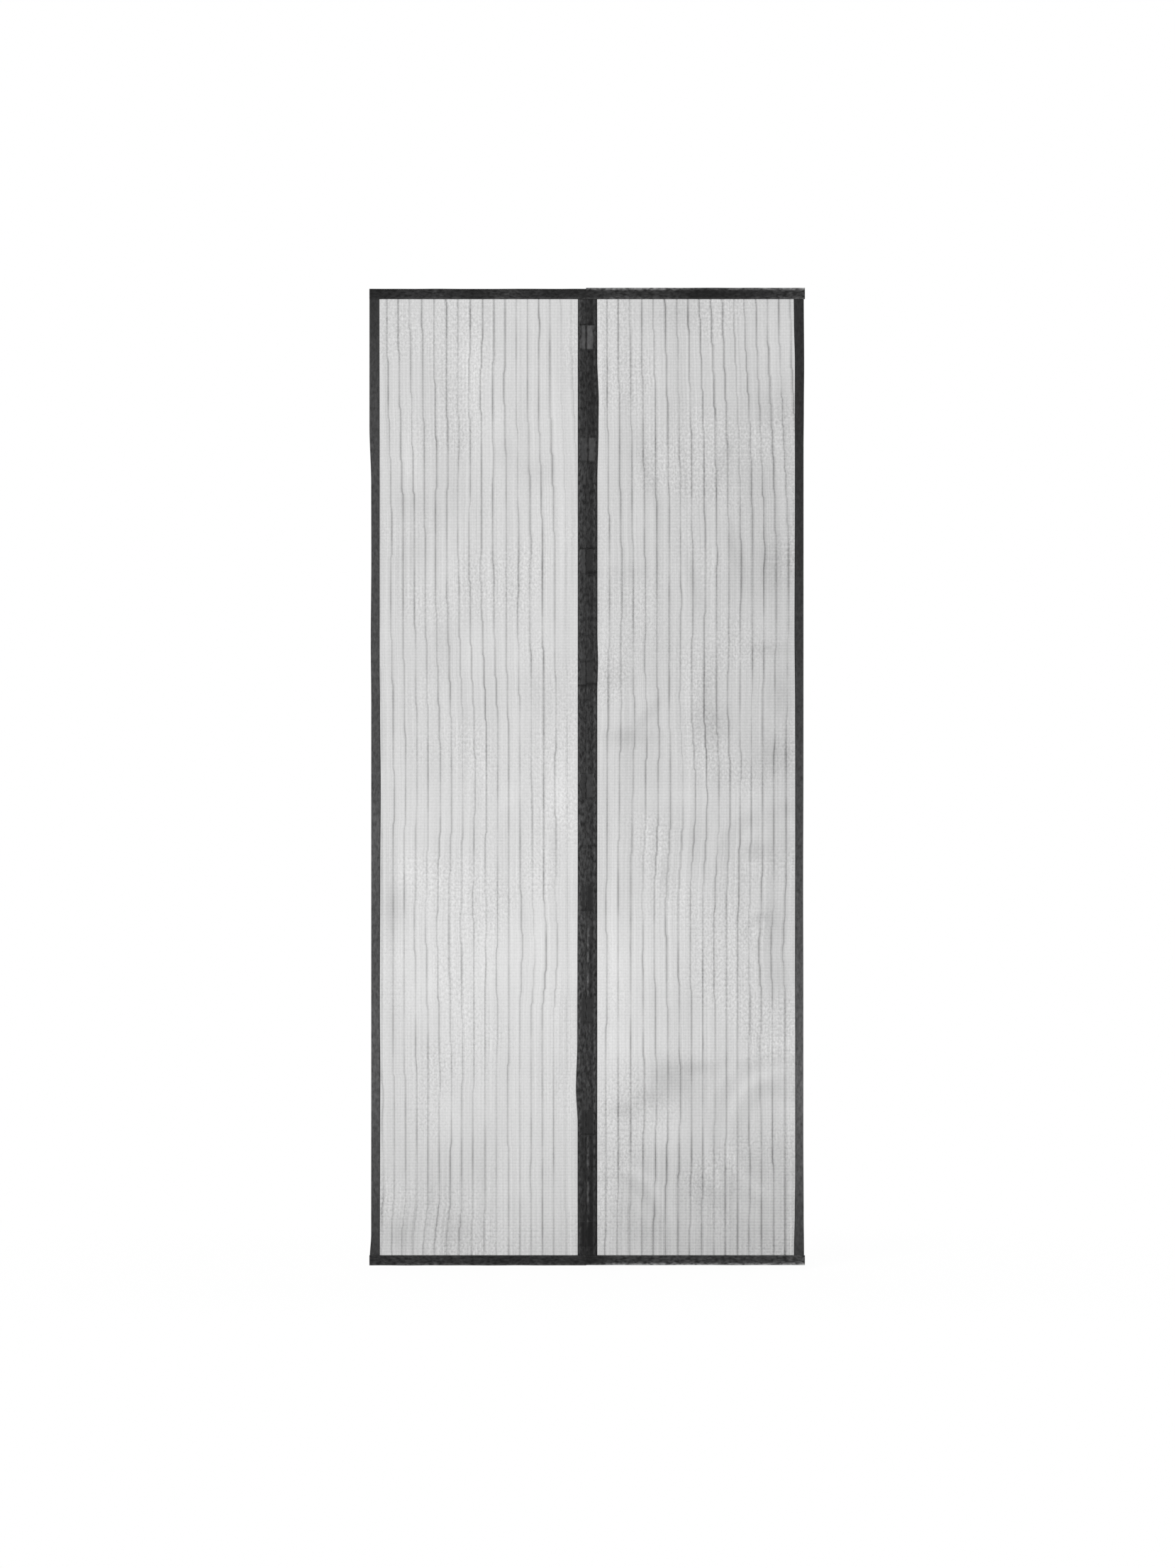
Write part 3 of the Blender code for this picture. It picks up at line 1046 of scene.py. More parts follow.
@dataclass
class ClosingTape(UprightTape):
    """The wide folded tape at the closing line, quilted into a pocket for each magnet."""

    tones: tuple[Stop, ...] = ()
    # Level changes across from the open edge: painted light on the stitched ridges, painted shade
    # in the grooves between them.
    ridges: tuple[Stop, ...] = ()
    # Each pad's level: its own tone with the painted light that its bulge catches.
    pad_tone_and_light: tuple[float, ...] = ()
    # Painted shade at the seam above and below each pad.
    end_shades: Stop = (0.3, 0.5)
    # Painted shade along each crease across the tape: where along, and how deep.
    crease_shades: tuple[Stop, ...] = ()
    # Painted highlights: the spans along the tape where a lit streak runs beside its groove.
    glints: tuple[Stop, ...] = ()
    outward: int = -1
    meeting: tuple[Stop, ...] = (
        (0.25, -0.0024), (0.31, 0.0020), (0.372, 0.0020), (0.42, -0.0024),
    )
    sway: float = 0.0004
    fine_sway: float = 0.00015
    lap: float = 0.00006
    pad_start: float = 0.0008
    pad_reach: float = 0.0142
    pad_slope: float = 0.004
    side_slope: float = 0.003
    smoothing: float = 0.75
    fold_shade: float = 0.3
    fold_band: float = 0.0022
    seam_at: float = 0.0028
    seam_band: float = 0.0040
    seam_over: float = 0.002
    crease_band: float = 0.0052
    glint: Stop = (0.0042, 0.0032)
    glint_light: float = 2.2
    glint_slope: float = 0.02
    groove: Stop = (0.0102, 0.0042)
    groove_shade: float = 0.4
    slot: str = "closing_tape"
    step: float = 0.0031
    front_shares: tuple[float, ...] = (
        1.0, 0.955, 0.865, 0.80, 0.745, 0.70, 0.58, 0.43, 0.29, 0.17, 0.13, 0.10,
    )
    back_shares: tuple[float, ...] = (0.12, 0.17, 0.32, 0.55, 0.70, 0.78, 0.9, 1.0)
    pucker: float = 0.00032
    magnet_room: float = 0.0003
    end_room: float = 0.0004
    play: Stop = (0.0006, 0.0008)
    empty_gap: float = 0.0005
    pinch: float = 0.0002
    slope: float = 0.0035
    seam_start: float = 0.0016
    seam_fall: float = 0.0019
    magnets: list[tuple[Vector, Vector]] = field(default_factory=list)

    def __post_init__(self) -> None:
        """Reads the magnets' boxes, from the top down."""
        names = [f"{self.side.word}_magnet_{number}" for number in MAGNETS]
        self.magnets = [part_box(name) for name in names]

    def fold(self, along: float) -> float:
        """The closing line, which sways a little and is shared by both panels."""
        sway = self.sway * waver(along, 3.1, 8.0) + self.fine_sway * waver(along, 17.0, 8.5)
        return self.side.value * (follow(self.meeting, along) + sway) - self.lap

    def reach(self, along: float) -> float:
        """How far from the fold the bulge over a magnet goes."""
        fold = self.fold(along)
        return self.pad_reach - fold + max(0.0, fold - self.side.value * self.meeting[0][1])

    def seams(self) -> list[float]:
        """Across the tape above and below each magnet."""
        spans = [(-high.z - self.slope, -low.z + self.slope) for low, high in self.magnets]
        return [place for span in spans for place in span]

    def pocket(self, along: float) -> tuple[int, float]:
        """Finds the nearest magnet.

        Args:
            along: How far along the tape.

        Returns:
            The magnet's number from 0, and how far beyond its end this place is.
        """
        spans = [max(-along - high.z, low.z + along) for low, high in self.magnets]
        nearest = min(range(len(spans)), key=lambda i: spans[i])
        return nearest, spans[nearest]

    def filling(self, along: float) -> float:
        """Half the space in the pocket's middle: the magnet, its end seam, or nothing.

        Args:
            along: How far along the tape.

        Returns:
            The half space, in metres.
        """
        low, high = self.magnets[0]
        full = (high.y - low.y) / 2 + self.magnet_room
        _, beyond = self.pocket(along)
        if beyond <= self.end_room:
            return full
        if beyond <= self.slope:
            return full + (self.pinch - full) * eased(beyond / self.slope)
        return self.pinch + (self.empty_gap - self.pinch) * eased(beyond / self.slope - 1.0)

    def gap(self, across: float, along: float) -> float:
        """The pocket's shape across: closed at both seams and full between them.

        Args:
            across: How far from the fold.
            along: How far along the tape.

        Returns:
            Half the space between the leaves.
        """
        low, high = self.magnets[0]
        inner = min(abs(low.x), abs(high.x)) - self.fold(along) - self.play[0]
        outer = inner + (high.x - low.x) + self.play[1]
        start = min(self.seam_start, inner * 0.6)
        rise = eased((across - start) / (inner - start))
        fall = eased((across - outer) / self.seam_fall)
        return NET_GAP + (self.filling(along) - NET_GAP) * rise * (1.0 - fall)

    def padded(self, across: float, along: float) -> float:
        """Where the tape bulges over a magnet.

        Args:
            across: How far from the fold.
            along: How far along the tape.

        Returns:
            1 on the bulge and 0 off it.
        """
        _, beyond = self.pocket(along)
        lengthwise = eased(1.0 - beyond / self.pad_slope)
        rise = eased((across - self.pad_start) / self.side_slope)
        return lengthwise * rise * eased((self.reach(along) - across) / self.side_slope)

    def worn(self, across: float, along: float) -> float:
        """Smoother where the tape is stretched over a magnet."""
        return 1.0 - self.smoothing * self.padded(across, along)

    def level(self, across: float, along: float, leaf: Leaf) -> float:
        """The tape's tones, with painted light on each pad and along the lit streaks, and painted
        shade at the fold, the seams, each crease and the grooves.

        Args:
            across: How far from the fold.
            along: How far along the tape.
            leaf: Which leaf.

        Returns:
            The tape's lightness, with its painted light and shade.
        """
        number, beyond = self.pocket(along)
        lengthwise = eased(1.0 - beyond / self.pad_slope)
        # Across the tape: painted light on the ridges, painted shade in the grooves.
        level = follow(self.tones, along) + follow(self.ridges, self.width(along) - across)
        # Painted light on the bulge over each magnet, with the pad's own tone.
        level += (self.pad_tone_and_light[number] - level) * self.padded(across, along)
        light = painted_lightness(level, CLOSING_LEVEL)
        # Painted shade along the fold beside each pad.
        light *= 1.0 - self.fold_shade * lengthwise * near(across, self.fold_band)
        low, high = self.magnets[number]
        below = along > -(low.z + high.z) / 2
        inside = eased((self.reach(along) + self.seam_over - across) / self.side_slope)
        seam = near(beyond - self.seam_at, self.seam_band)
        # Painted shade at the seams above and below each pad.
        light *= 1.0 - self.end_shades[below] * seam * inside
        # Painted shade in each crease.
        for crease, depth in self.crease_shades:
            light *= 1.0 - depth * near(along - crease, self.crease_band)
        # Painted highlight along each lit streak, and painted shade in the groove beside it.
        for start, end in self.glints:
            lit = eased((along - start) / self.glint_slope)
            lit *= eased((end - along) / self.glint_slope)
            broken = eased(0.7 + 2.4 * waver(along, 30.0, 3.0))
            streak = near(across - self.glint[0], self.glint[1])
            light *= 1.0 + self.glint_light * lit * broken * streak
            light *= 1.0 - self.groove_shade * lit * near(across - self.groove[0], self.groove[1])
        return light


@dataclass(kw_only=True)
class CrossTape(FoldedTape):
    """A tape folded over a panel's head or foot, wrapped over the upright tapes' ends."""

    starts: float
    fold_z: float
    edge_z: float
    tones: tuple[Stop, ...] = ()
    clear: Stop = (0.023, 0.467)
    clear_slope: float = 0.008
    stray: float = 0.0004
    stray_from: float = 0.002
    stray_slope: float = 0.03
    fold_light: float = 0.0
    fold_band: float = 0.0072
    edge_light: float = 0.0
    edge_band: float = 0.0048
    step: float = 0.0034

    @property
    def upward(self) -> int:
        """1 where the fold is at the top, and -1 at the foot."""
        return 1 if self.fold_z > self.edge_z else -1

    def ends(self) -> Stop:
        """From the closing line out to the panel's edge."""
        return self.starts, PANEL_EDGE

    def sway(self, along: float) -> float:
        """How far the fold strays from straight.

        Args:
            along: How far along the tape.

        Returns:
            The way outwards, in metres.
        """
        away = eased((along - self.stray_from) / self.stray_slope)
        away *= eased((PANEL_EDGE - along) / self.stray_slope)
        return self.stray * waver(along, 16.0, 5.0 + self.upward + self.side.value) * away

    def width(self, along: float) -> float:
        """From the fold to the open edge."""
        return abs(self.fold_z - self.edge_z) + self.sway(along)

    def place(self, across: float, depth: float, along: float) -> Vector:
        """The point at this place, along counted out from the closing line."""
        z = self.fold_z + self.sway(along) * self.upward - self.upward * across
        return Vector((self.side.value * along, self.at.net_y + depth, z))

    def gap(self, across: float, along: float) -> float:
        """The net's room, swollen where the upright tapes' ends are inside.

        Args:
            across: How far from the fold.
            along: How far along the tape.

        Returns:
            Half the space between the leaves.
        """
        start, end = self.clear
        slope = self.clear_slope
        swell = 1.0 - eased((along - start) / slope) * eased((end - along) / slope)
        return NET_GAP + (SWOLLEN_GAP - NET_GAP) * swell

    def level(self, across: float, along: float, leaf: Leaf) -> float:
        """The tones along the tape, with painted light on its fold and its sewn edge, and painted
        shade on the fold where its amount is below zero.

        Args:
            across: How far from the fold.
            along: How far along the tape.
            leaf: Which leaf.

        Returns:
            The tape's lightness, with its painted light and shade.
        """
        # Painted highlight along the fold and the sewn edge; a fold amount below zero paints
        # shade on the fold instead.
        lit = 1.0 + self.fold_light * near(across, self.fold_band)
        lit += self.edge_light * near(self.width(along) - across, self.edge_band)
        return painted_lightness(follow(self.tones, along), CROSS_LEVEL) * lit


# Sewing


@dataclass
class Stitching:
    """A machine's lock stitch: short arched grains of thread, ends sunk in the cloth."""

    finish: bpy.types.Material
    slot: str
    length: float = 0.0035
    pitch: float = 0.0045
    radius: float = 0.00019
    arch: float = 0.00030
    sunk: float = 0.0001
    shoulders: Stop = (0.22, 0.78)
    cloth: Cloth = field(default_factory=Cloth)

    def grain(self, start: Vector, end: Vector, out: Vector) -> None:
        """Adds one stitch.

        Args:
            start: Where the thread comes up.
            end: Where it goes down.
            out: The way the cloth faces.
        """
        run = (end - start).normalized()
        beside = run.cross(out) * self.radius
        high = out * self.radius
        first = len(self.cloth.points)
        self.cloth.points.append(start - out * self.sunk)
        for share in self.shoulders:
            middle = start.lerp(end, share) + out * (self.arch - self.radius)
            ring = (middle + beside, middle + high, middle - beside, middle - high)
            self.cloth.points.extend(ring)
        self.cloth.points.append(end - out * self.sunk)
        for turn in range(4):
            a = first + 1 + turn
            b = first + 1 + (turn + 1) % 4
            self.cloth.faces.append((first, a, b))
            self.cloth.faces.append((a, a + 4, b + 4, b))
            self.cloth.faces.append((a + 4, first + 9, b + 4))

    def row(self, tape: FoldedTape, across: Callable[[float], float], ends: Stop) -> None:
        """Sews a row along a tape, seen on both leaves.

        Args:
            tape: The tape that is sewn.
            across: How far from the fold the row runs, at a place along.
            ends: Where the row starts and ends along the tape.
        """
        count = int((ends[1] - ends[0]) / self.pitch)
        for number in range(count):
            start = ends[0] + number * self.pitch
            for leaf in Leaf:
                begin = start + (self.pitch * 0.5 if leaf is Leaf.BACK else 0.0)
                places = ((across(along), along) for along in (begin, begin + self.length))
                self.stitch(tape, leaf, places)

    def tack(self, tape: FoldedTape, along: float, span: Stop) -> None:
        """Sews across a tape, on both leaves.

        Args:
            tape: The tape that is sewn.
            along: Where along the tape.
            span: Where across it the stitches start and end.
        """
        count = round((span[1] - span[0]) / self.pitch)
        for number in range(count):
            start = span[0] + number * (span[1] - span[0]) / count
            for leaf in Leaf:
                self.stitch(tape, leaf, ((start, along), (start + self.length, along)))

    def stitch(self, tape: FoldedTape, leaf: Leaf, places: Iterable[Stop]) -> None:
        """One stitch on a leaf, between two places of (across, along)."""
        marks = [tape.surface(*place, leaf) for place in places]
        self.grain(*marks, Vector((0.0, leaf.value, 0.0)))

    def make(self, name: str) -> bpy.types.Object:
        """Makes the piece of all the stitches so far."""
        return self.cloth.piece(name, self.finish, self.slot)


# Net


@dataclass(frozen=True)
class Smudge:
    """A soft patch where the net looks darker or lighter, amount in screen levels."""

    x: float
    along: float
    wide: float
    tall: float
    amount: float
    lean: float = 0.0

    def at(self, x: float, along: float) -> float:
        """The change of level at a place; lean is how far it runs sideways as it drops.

        Args:
            x: The place across, in metres.
            along: Metres down from the origin.

        Returns:
            The change, in screen levels.
        """
        up = (along - self.along) / self.tall
        over = (x - self.x - self.lean * up * self.tall) / self.wide
        return self.amount * math.exp(-1.2 * (over * over + up * up))


@dataclass(frozen=True)
class Rings:
    """Faint rings where the meshes of the net beat against each other."""

    x: float
    along: float
    spacing: float
    reach: float
    amount: float
    start: float = 0.0
    squeeze: float = 1.0

    def at(self, x: float, along: float) -> float:
        """The change of level at a place: dark at start and each spacing beyond it.

        Args:
            x: The place across, in metres.
            along: Metres down from the origin.

        Returns:
            The change, in screen levels.
        """
        away = math.hypot((x - self.x) / self.squeeze, along - self.along)
        if away > self.reach:
            return 0.0
        phase = max(-0.5, (away - self.start) / self.spacing)
        fade = eased((self.reach - away) / (self.reach * 0.45))
        broken = 0.55 + 1.3 * rumple(x, along, (13.0, 11.0), 40.0)
        change = -self.amount * math.cos(TURN * phase)
        return max(change, change * 0.6) * fade * min(1.0, max(0.1, broken))


@dataclass(frozen=True)
class Pull:
    """A stretch where ribs are drawn aside: how far, around which rib and place."""

    rib: float
    along: float
    ribs: float
    reach: float
    amount: float

    def at(self, rib: float, along: float) -> float:
        """How far the rib is drawn aside there.

        Args:
            rib: The rib's number, from the left.
            along: Metres down from the origin.

        Returns:
            The way to the right, in metres.
        """
        over = (rib - self.rib) / self.ribs
        down = (along - self.along) / self.reach
        if abs(over) >= 1.0 or abs(down) >= 1.0:
            return 0.0
        return self.amount * (1.0 - over * over) ** 2 * (1.0 - down * down) ** 2


@dataclass
class Net:
    """One panel's net, with its rib yarns, hung inside the four tapes."""

    side: Side
    at: Measures
    finish: bpy.types.Material
    yarn: bpy.types.Material
    origin: float
    first: tuple[Stop, ...]
    pitch: tuple[Stop, ...]
    tones: tuple[Stop, ...]
    smudges: tuple[Union[Smudge, Rings], ...] = ()
    pulls: tuple[Pull, ...] = ()
    strengths: tuple[Stop, ...] = ((0.0, 1.05), (2.1, 0.82))
    rib_strengths: tuple[Stop, ...] = ((0.0, 1.0),)
    lean: float = 0.0
    ribs: int = 17
    columns: int = 140
    row: float = 0.008
    ripple: float = 0.0024
    side_slope: float = 0.05
    end_slope: float = 0.07
    thread_light: float = 0.045
    hidden_end: float = 0.0006
    hidden_side: float = 0.001
    yarns: tuple[float, ...] = (-0.0012, 0.0, 0.0012)
    yarn_radius: float = 0.00006
    yarn_out: float = 0.0001
    yarn_swell: float = 1.5
    yarn_least: float = 0.2
    slip: float = 0.0009
    wale: float = 0.0028
    jog: float = 0.10
    span: Stop = (0.0, 0.0)
    laid: dict[float, list[float]] = field(default_factory=dict)

    def __post_init__(self) -> None:
        """Reads the net's edges off its solid."""
        low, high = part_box(f"{self.side.word}_net")
        self.span = (low.x, high.x)

    def strayed(self, rib: float, along: float) -> float:
        """How far a rib has slipped sideways, much as its neighbours have.

        Args:
            rib: The rib's number, from the left.
            along: Metres down from the origin.

        Returns:
            The way to the right, in metres.
        """
        wave = waver(along, 3.4, 4.0 + self.side.value, rib * 0.33)
        fine = waver(along, 15.0, 11.0 + self.side.value, rib * 0.8)
        slipped = self.slip * (math.tanh(9.0 * wave) + 0.5 * fine)
        return slipped + sum(pull.at(rib, along) for pull in self.pulls)

    def rib_x(self, rib: int, along: float) -> float:
        """Where a rib is across: it keeps to one wale, then jogs to the next.

        Args:
            rib: The rib's number, from the left.
            along: Metres down from the origin.

        Returns:
            The place across, in metres.
        """
        start = self.origin + follow(self.first, along)
        place = start + rib * follow(self.pitch, along) + self.strayed(rib, along)
        return snapped(place, self.wale, self.jog)

    def rib_number(self, x: float, along: float) -> float:
        """The rib count at a place across.

        Args:
            x: The place across, in metres.
            along: Metres down from the origin.

        Returns:
            The count, whole on each rib.
        """
        if along not in self.laid:
            self.laid[along] = [self.rib_x(rib, along) for rib in range(-1, self.ribs + 1)]
        places = self.laid[along]
        before = min(max(bisect(places, x) - 1, 0), self.ribs)
        start, end = places[before], places[before + 1]
        return before - 1 + (x - start) / (end - start)

    def depth(self, x: float, along: float) -> float:
        """The net's place to the back: it bellies a little between the tapes.

        Args:
            x: The place across, in metres.
            along: Metres down from the origin.

        Returns:
            The place to the back, in metres.
        """
        low, high = self.span
        inside = eased(min(x - low, high - x) / self.side_slope)
        inside *= eased(min(along - self.head, self.hem - along) / self.end_slope)
        wave = rumple(x, along, (5.0, 1.6), 6.0 + self.side.value)
        fold = rumple(x, along, (16.0, 2.2), 16.0 + self.side.value)
        return self.at.net_y + self.ripple * inside * (wave + 0.35 * fold)

    def strength(self, rib: float, along: float) -> float:
        """How heavily a rib is knitted there, where 1 is plain."""
        return follow(self.strengths, along) * follow(self.rib_strengths, rib)

    @property
    def head(self) -> float:
        """Where the net comes out of the head binding."""
        return -self.at.head_foot

    @property
    def hem(self) -> float:
        """Where it goes into the hem."""
        return -self.at.hem_top

    def closeness(self, x: float, along: float) -> float:
        """How close the net is, away from its ribs.

        Args:
            x: The place across, in metres.
            along: Metres down from the origin.

        Returns:
            The share of light that it stops.
        """
        low, high = self.span
        level = follow(self.tones, along) + self.lean * ((x - low) / (high - low) - 0.5)
        level += sum(smudge.at(x, along) for smudge in self.smudges)
        return 1.0 - (linear(level) - self.thread_light) / (1.0 - self.thread_light)

    def make(self) -> None:
        cloth = Cloth()
        start = -self.at.wrapped_top + self.hidden_end
        downs = spread(start, -self.at.wrapped_foot - self.hidden_end, self.row)
        low, high = self.span
        across = spread(low, high, (high - low) / self.columns)
        cloth.grid(
            downs,
            across,
            lambda along, x: Vector((x, self.depth(x, along), -along)),
            lambda along, x: (self.rib_number(x, along), along),
            closeness=lambda along, x: self.closeness(x, along),
            strength=lambda along, x: self.strength(self.rib_number(x, along), along),
        )
        cloth.face_front()
        node = f"{self.side.word}_net"
        net = cloth.piece(f"{node}_cloth", self.finish, "net_cloth", map_name="bays")
        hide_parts(node)
        yarns = self.make_yarns(downs)
        flat = (high - low, downs[-1] - downs[0])

    def make_yarns(self, downs: Sequence[float]) -> bpy.types.Object:
        """Lays the heavier yarns of each rib along the net's face.

        Args:
            downs: The places along the panel that the yarns go through.

        Returns:
            The yarns, as one piece.
        """
        cloth = Cloth()
        low, high = self.span
        for rib in range(self.ribs):
            for number, offset in enumerate(self.yarns):
                rings = []
                for along in downs:
                    x = self.rib_x(rib, along) + offset
                    x = min(high - self.hidden_side, max(low + self.hidden_side, x))
                    swell = 1.0 + self.yarn_swell * waver(along, 5.0, 21.0 + number, rib * 5.3)
                    swell *= self.strength(rib, along)
                    radius = self.yarn_radius * max(self.yarn_least, swell)
                    middle = Vector((x, self.depth(x, along) - self.yarn_out, -along))
                    rings.append((middle, radius))
                self._tube(cloth, rings)
        return cloth.piece(f"{self.side.word}_ribs", self.yarn, "net_cloth")

    @staticmethod
    def _tube(cloth: Cloth, rings: Sequence[tuple[Vector, float]]) -> None:
        """Lays a four-sided yarn, closed at both ends.

        Args:
            cloth: Where its points and faces go.
            rings: The yarn's middle and radius at each place.
        """
        first = len(cloth.points)
        ways = [Vector(way) for way in ((1, 0, 0), (0, -1, 0), (-1, 0, 0), (0, 1, 0))]
        for middle, radius in rings:
            cloth.points.extend(middle + way * radius for way in ways)
        for ring in range(len(rings) - 1):
            for turn in range(4):
                a = first + ring * 4 + turn
                b = first + ring * 4 + (turn + 1) % 4
                cloth.faces.append((a, b, b + 4, a + 4))
        last = first + (len(rings) - 1) * 4
        cloth.faces.append((first + 3, first + 2, first + 1, first))
        cloth.faces.append((last, last + 1, last + 2, last + 3))


# Loop strips


@dataclass
class LoopStrip:
    """Soft pile strip sewn behind a binding, facing the hooks."""

    side: Side
    where: str
    finish: bpy.types.Material
    step: float = 0.006
    fine_step: float = 0.0022
    nap: float = 0.00016
    nap_pace: Stop = (260.0, 400.0)
    backing: float = 0.0001
    thick_share: float = 0.8

    def make(self, behind: bpy.types.Object) -> None:
        """Builds the strip in its solid's place.

        Args:
            behind: The binding that it is sewn on; not used.
        """
        node = f"{self.side.word}_{self.where}_loop_strip"
        low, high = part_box(node)
        thick = (high.y - low.y) * self.thick_share
        upright = (high.z - low.z) > (high.x - low.x)
        along = "z" if upright else "x"
        across = "x" if upright else "z"
        rows = spread(getattr(low, along), getattr(high, along), self.step)
        columns = spread(getattr(low, across), getattr(high, across), self.fine_step)

        def point(row: float, column: float) -> Vector:
            """The front of the pile, which faces the binding.

            Args:
                row: The place along the strip.
                column: The place across it.

            Returns:
                The point.
            """
            rise = 0.5 + 0.5 * rumple(row, column, self.nap_pace, SEED_STEP)
            y = low.y + self.backing + self.nap * rise
            return Vector((column, y, row)) if upright else Vector((row, y, column))

        cloth = Cloth()
        cloth.grid(rows, columns, point, lambda r, c: (c, r))
        cloth.face_front()
        cloth.faces = [tuple(reversed(face)) for face in cloth.faces]
        piece = cloth.piece(f"{node}_cloth", self.finish, "loop_tape", thickness=thick)
        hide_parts(node)
        flat = (columns[-1] - columns[0], rows[-1] - rows[0])


# One panel


@dataclass
class Finishes:
    """The finishes, mixed once and shared by both panels."""

    net: bpy.types.Material
    side_tape: bpy.types.Material
    cross_tape: bpy.types.Material
    closing_tape: bpy.types.Material
    thread: bpy.types.Material
    rib_yarn: bpy.types.Material
    loop: bpy.types.Material
    hook: bpy.types.Material
    magnet: bpy.types.Material

    @classmethod
    def mix(cls) -> "Finishes":
        """Mixes them all.

        Returns:
            The finishes.
        """
        return cls(
            net=NetFinish("Striped net").material(),
            side_tape=TapeFinish("Side binding tape", SIDE_LEVEL, mottle=0.7).material(),
            cross_tape=TapeFinish("Head and hem tape", CROSS_LEVEL, mottle=1.8).material(),
            closing_tape=TapeFinish("Closing tape", CLOSING_LEVEL, mottle=1.8).material(),
            thread=ThreadFinish("Sewing thread", 74.0).material(),
            rib_yarn=ThreadFinish("Rib yarn", 48.0).material(),
            loop=PileFinish("Loop pile", 52.0).material(),
            hook=HookFinish("Hook tape", 46.0).material(),
            magnet=MagnetFinish("Magnet bar", 50.0).material(),
        )


@dataclass
class Panel:
    """One panel of the screen: net, tapes, sewing, loop strips and magnets."""

    side: Side
    at: Measures
    finishes: Finishes
    net: Net
    side_binding: SideBinding
    closing_tape: ClosingTape
    head_binding: CrossTape
    hem_binding: CrossTape
    row_margins: Stop = (0.003, 0.008)
    cross_margins: Stop = (0.001, 0.006)
    closing_rows: Stop = (0.0026, 0.0160)
    tack_span: Stop = (0.003, 0.016)

    def make(self) -> None:
        """Builds the panel: its net, tapes, sewing, loop strips and magnets."""
        word = self.side.word
        self.net.make()
        tapes = (
            (self.side_binding, "side_binding"),
            (self.closing_tape, "closing_tape"),
            (self.head_binding, "head_binding"),
            (self.hem_binding, "hem_binding"),
        )
        cloths = {name: tape.make(name) for tape, name in tapes}
        sewn = {name: self.sew(tape, name) for tape, name in tapes}
        holders = {
            "side_binding": [cloths["head_binding"].name],
            "closing_tape": [cloths["head_binding"].name],
            "head_binding": [f"{word}_head_loop_strip"],
            "hem_binding": [cloths["side_binding"].name, cloths["closing_tape"].name],
        }
        for tape, name in tapes:
            start, end = tape.ends()
            flat = (2 * tape.width((start + end) / 2), end - start)
            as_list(holders[name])
        for where in ("head", "side"):
            LoopStrip(self.side, where, self.finishes.loop).make(cloths[f"{where}_binding"])
        for number in MAGNETS:
            dress(f"{word}_magnet_{number}", self.finishes.magnet)

    def sew(self, tape: FoldedTape, name: str) -> bpy.types.Object:
        """Sews a tape's seams.

        Args:
            tape: The tape.
            name: Its name without the side.

        Returns:
            The stitches, as one piece.
        """
        sewing = Stitching(self.finishes.thread, tape.slot)
        start, end = tape.ends()
        before, after = self.cross_margins
        if isinstance(tape, UprightTape):
            start, end = -self.at.head_foot, -self.at.hem_top
            before, after = self.row_margins
        run = (start + before, end - after)
        sewing.row(tape, lambda along: tape.width(along) - tape.seam, run)
        if isinstance(tape, ClosingTape):
            for across in self.closing_rows:
                sewing.row(tape, lambda along, w=across: w, run)
            for along in tape.seams():
                sewing.tack(tape, along, self.tack_span)
        return sewing.make(f"{self.side.word}_{name}_stitches")


def dress(node: str, material: bpy.types.Material) -> None:
    """Gives a solid that stays in the scene its finish.

    Args:
        node: The solid's name.
        material: Its finish.
    """
    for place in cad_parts[node].material_slots:
        place.material = material
    log.info("%s: kept, with the finish %s", node, material.name)


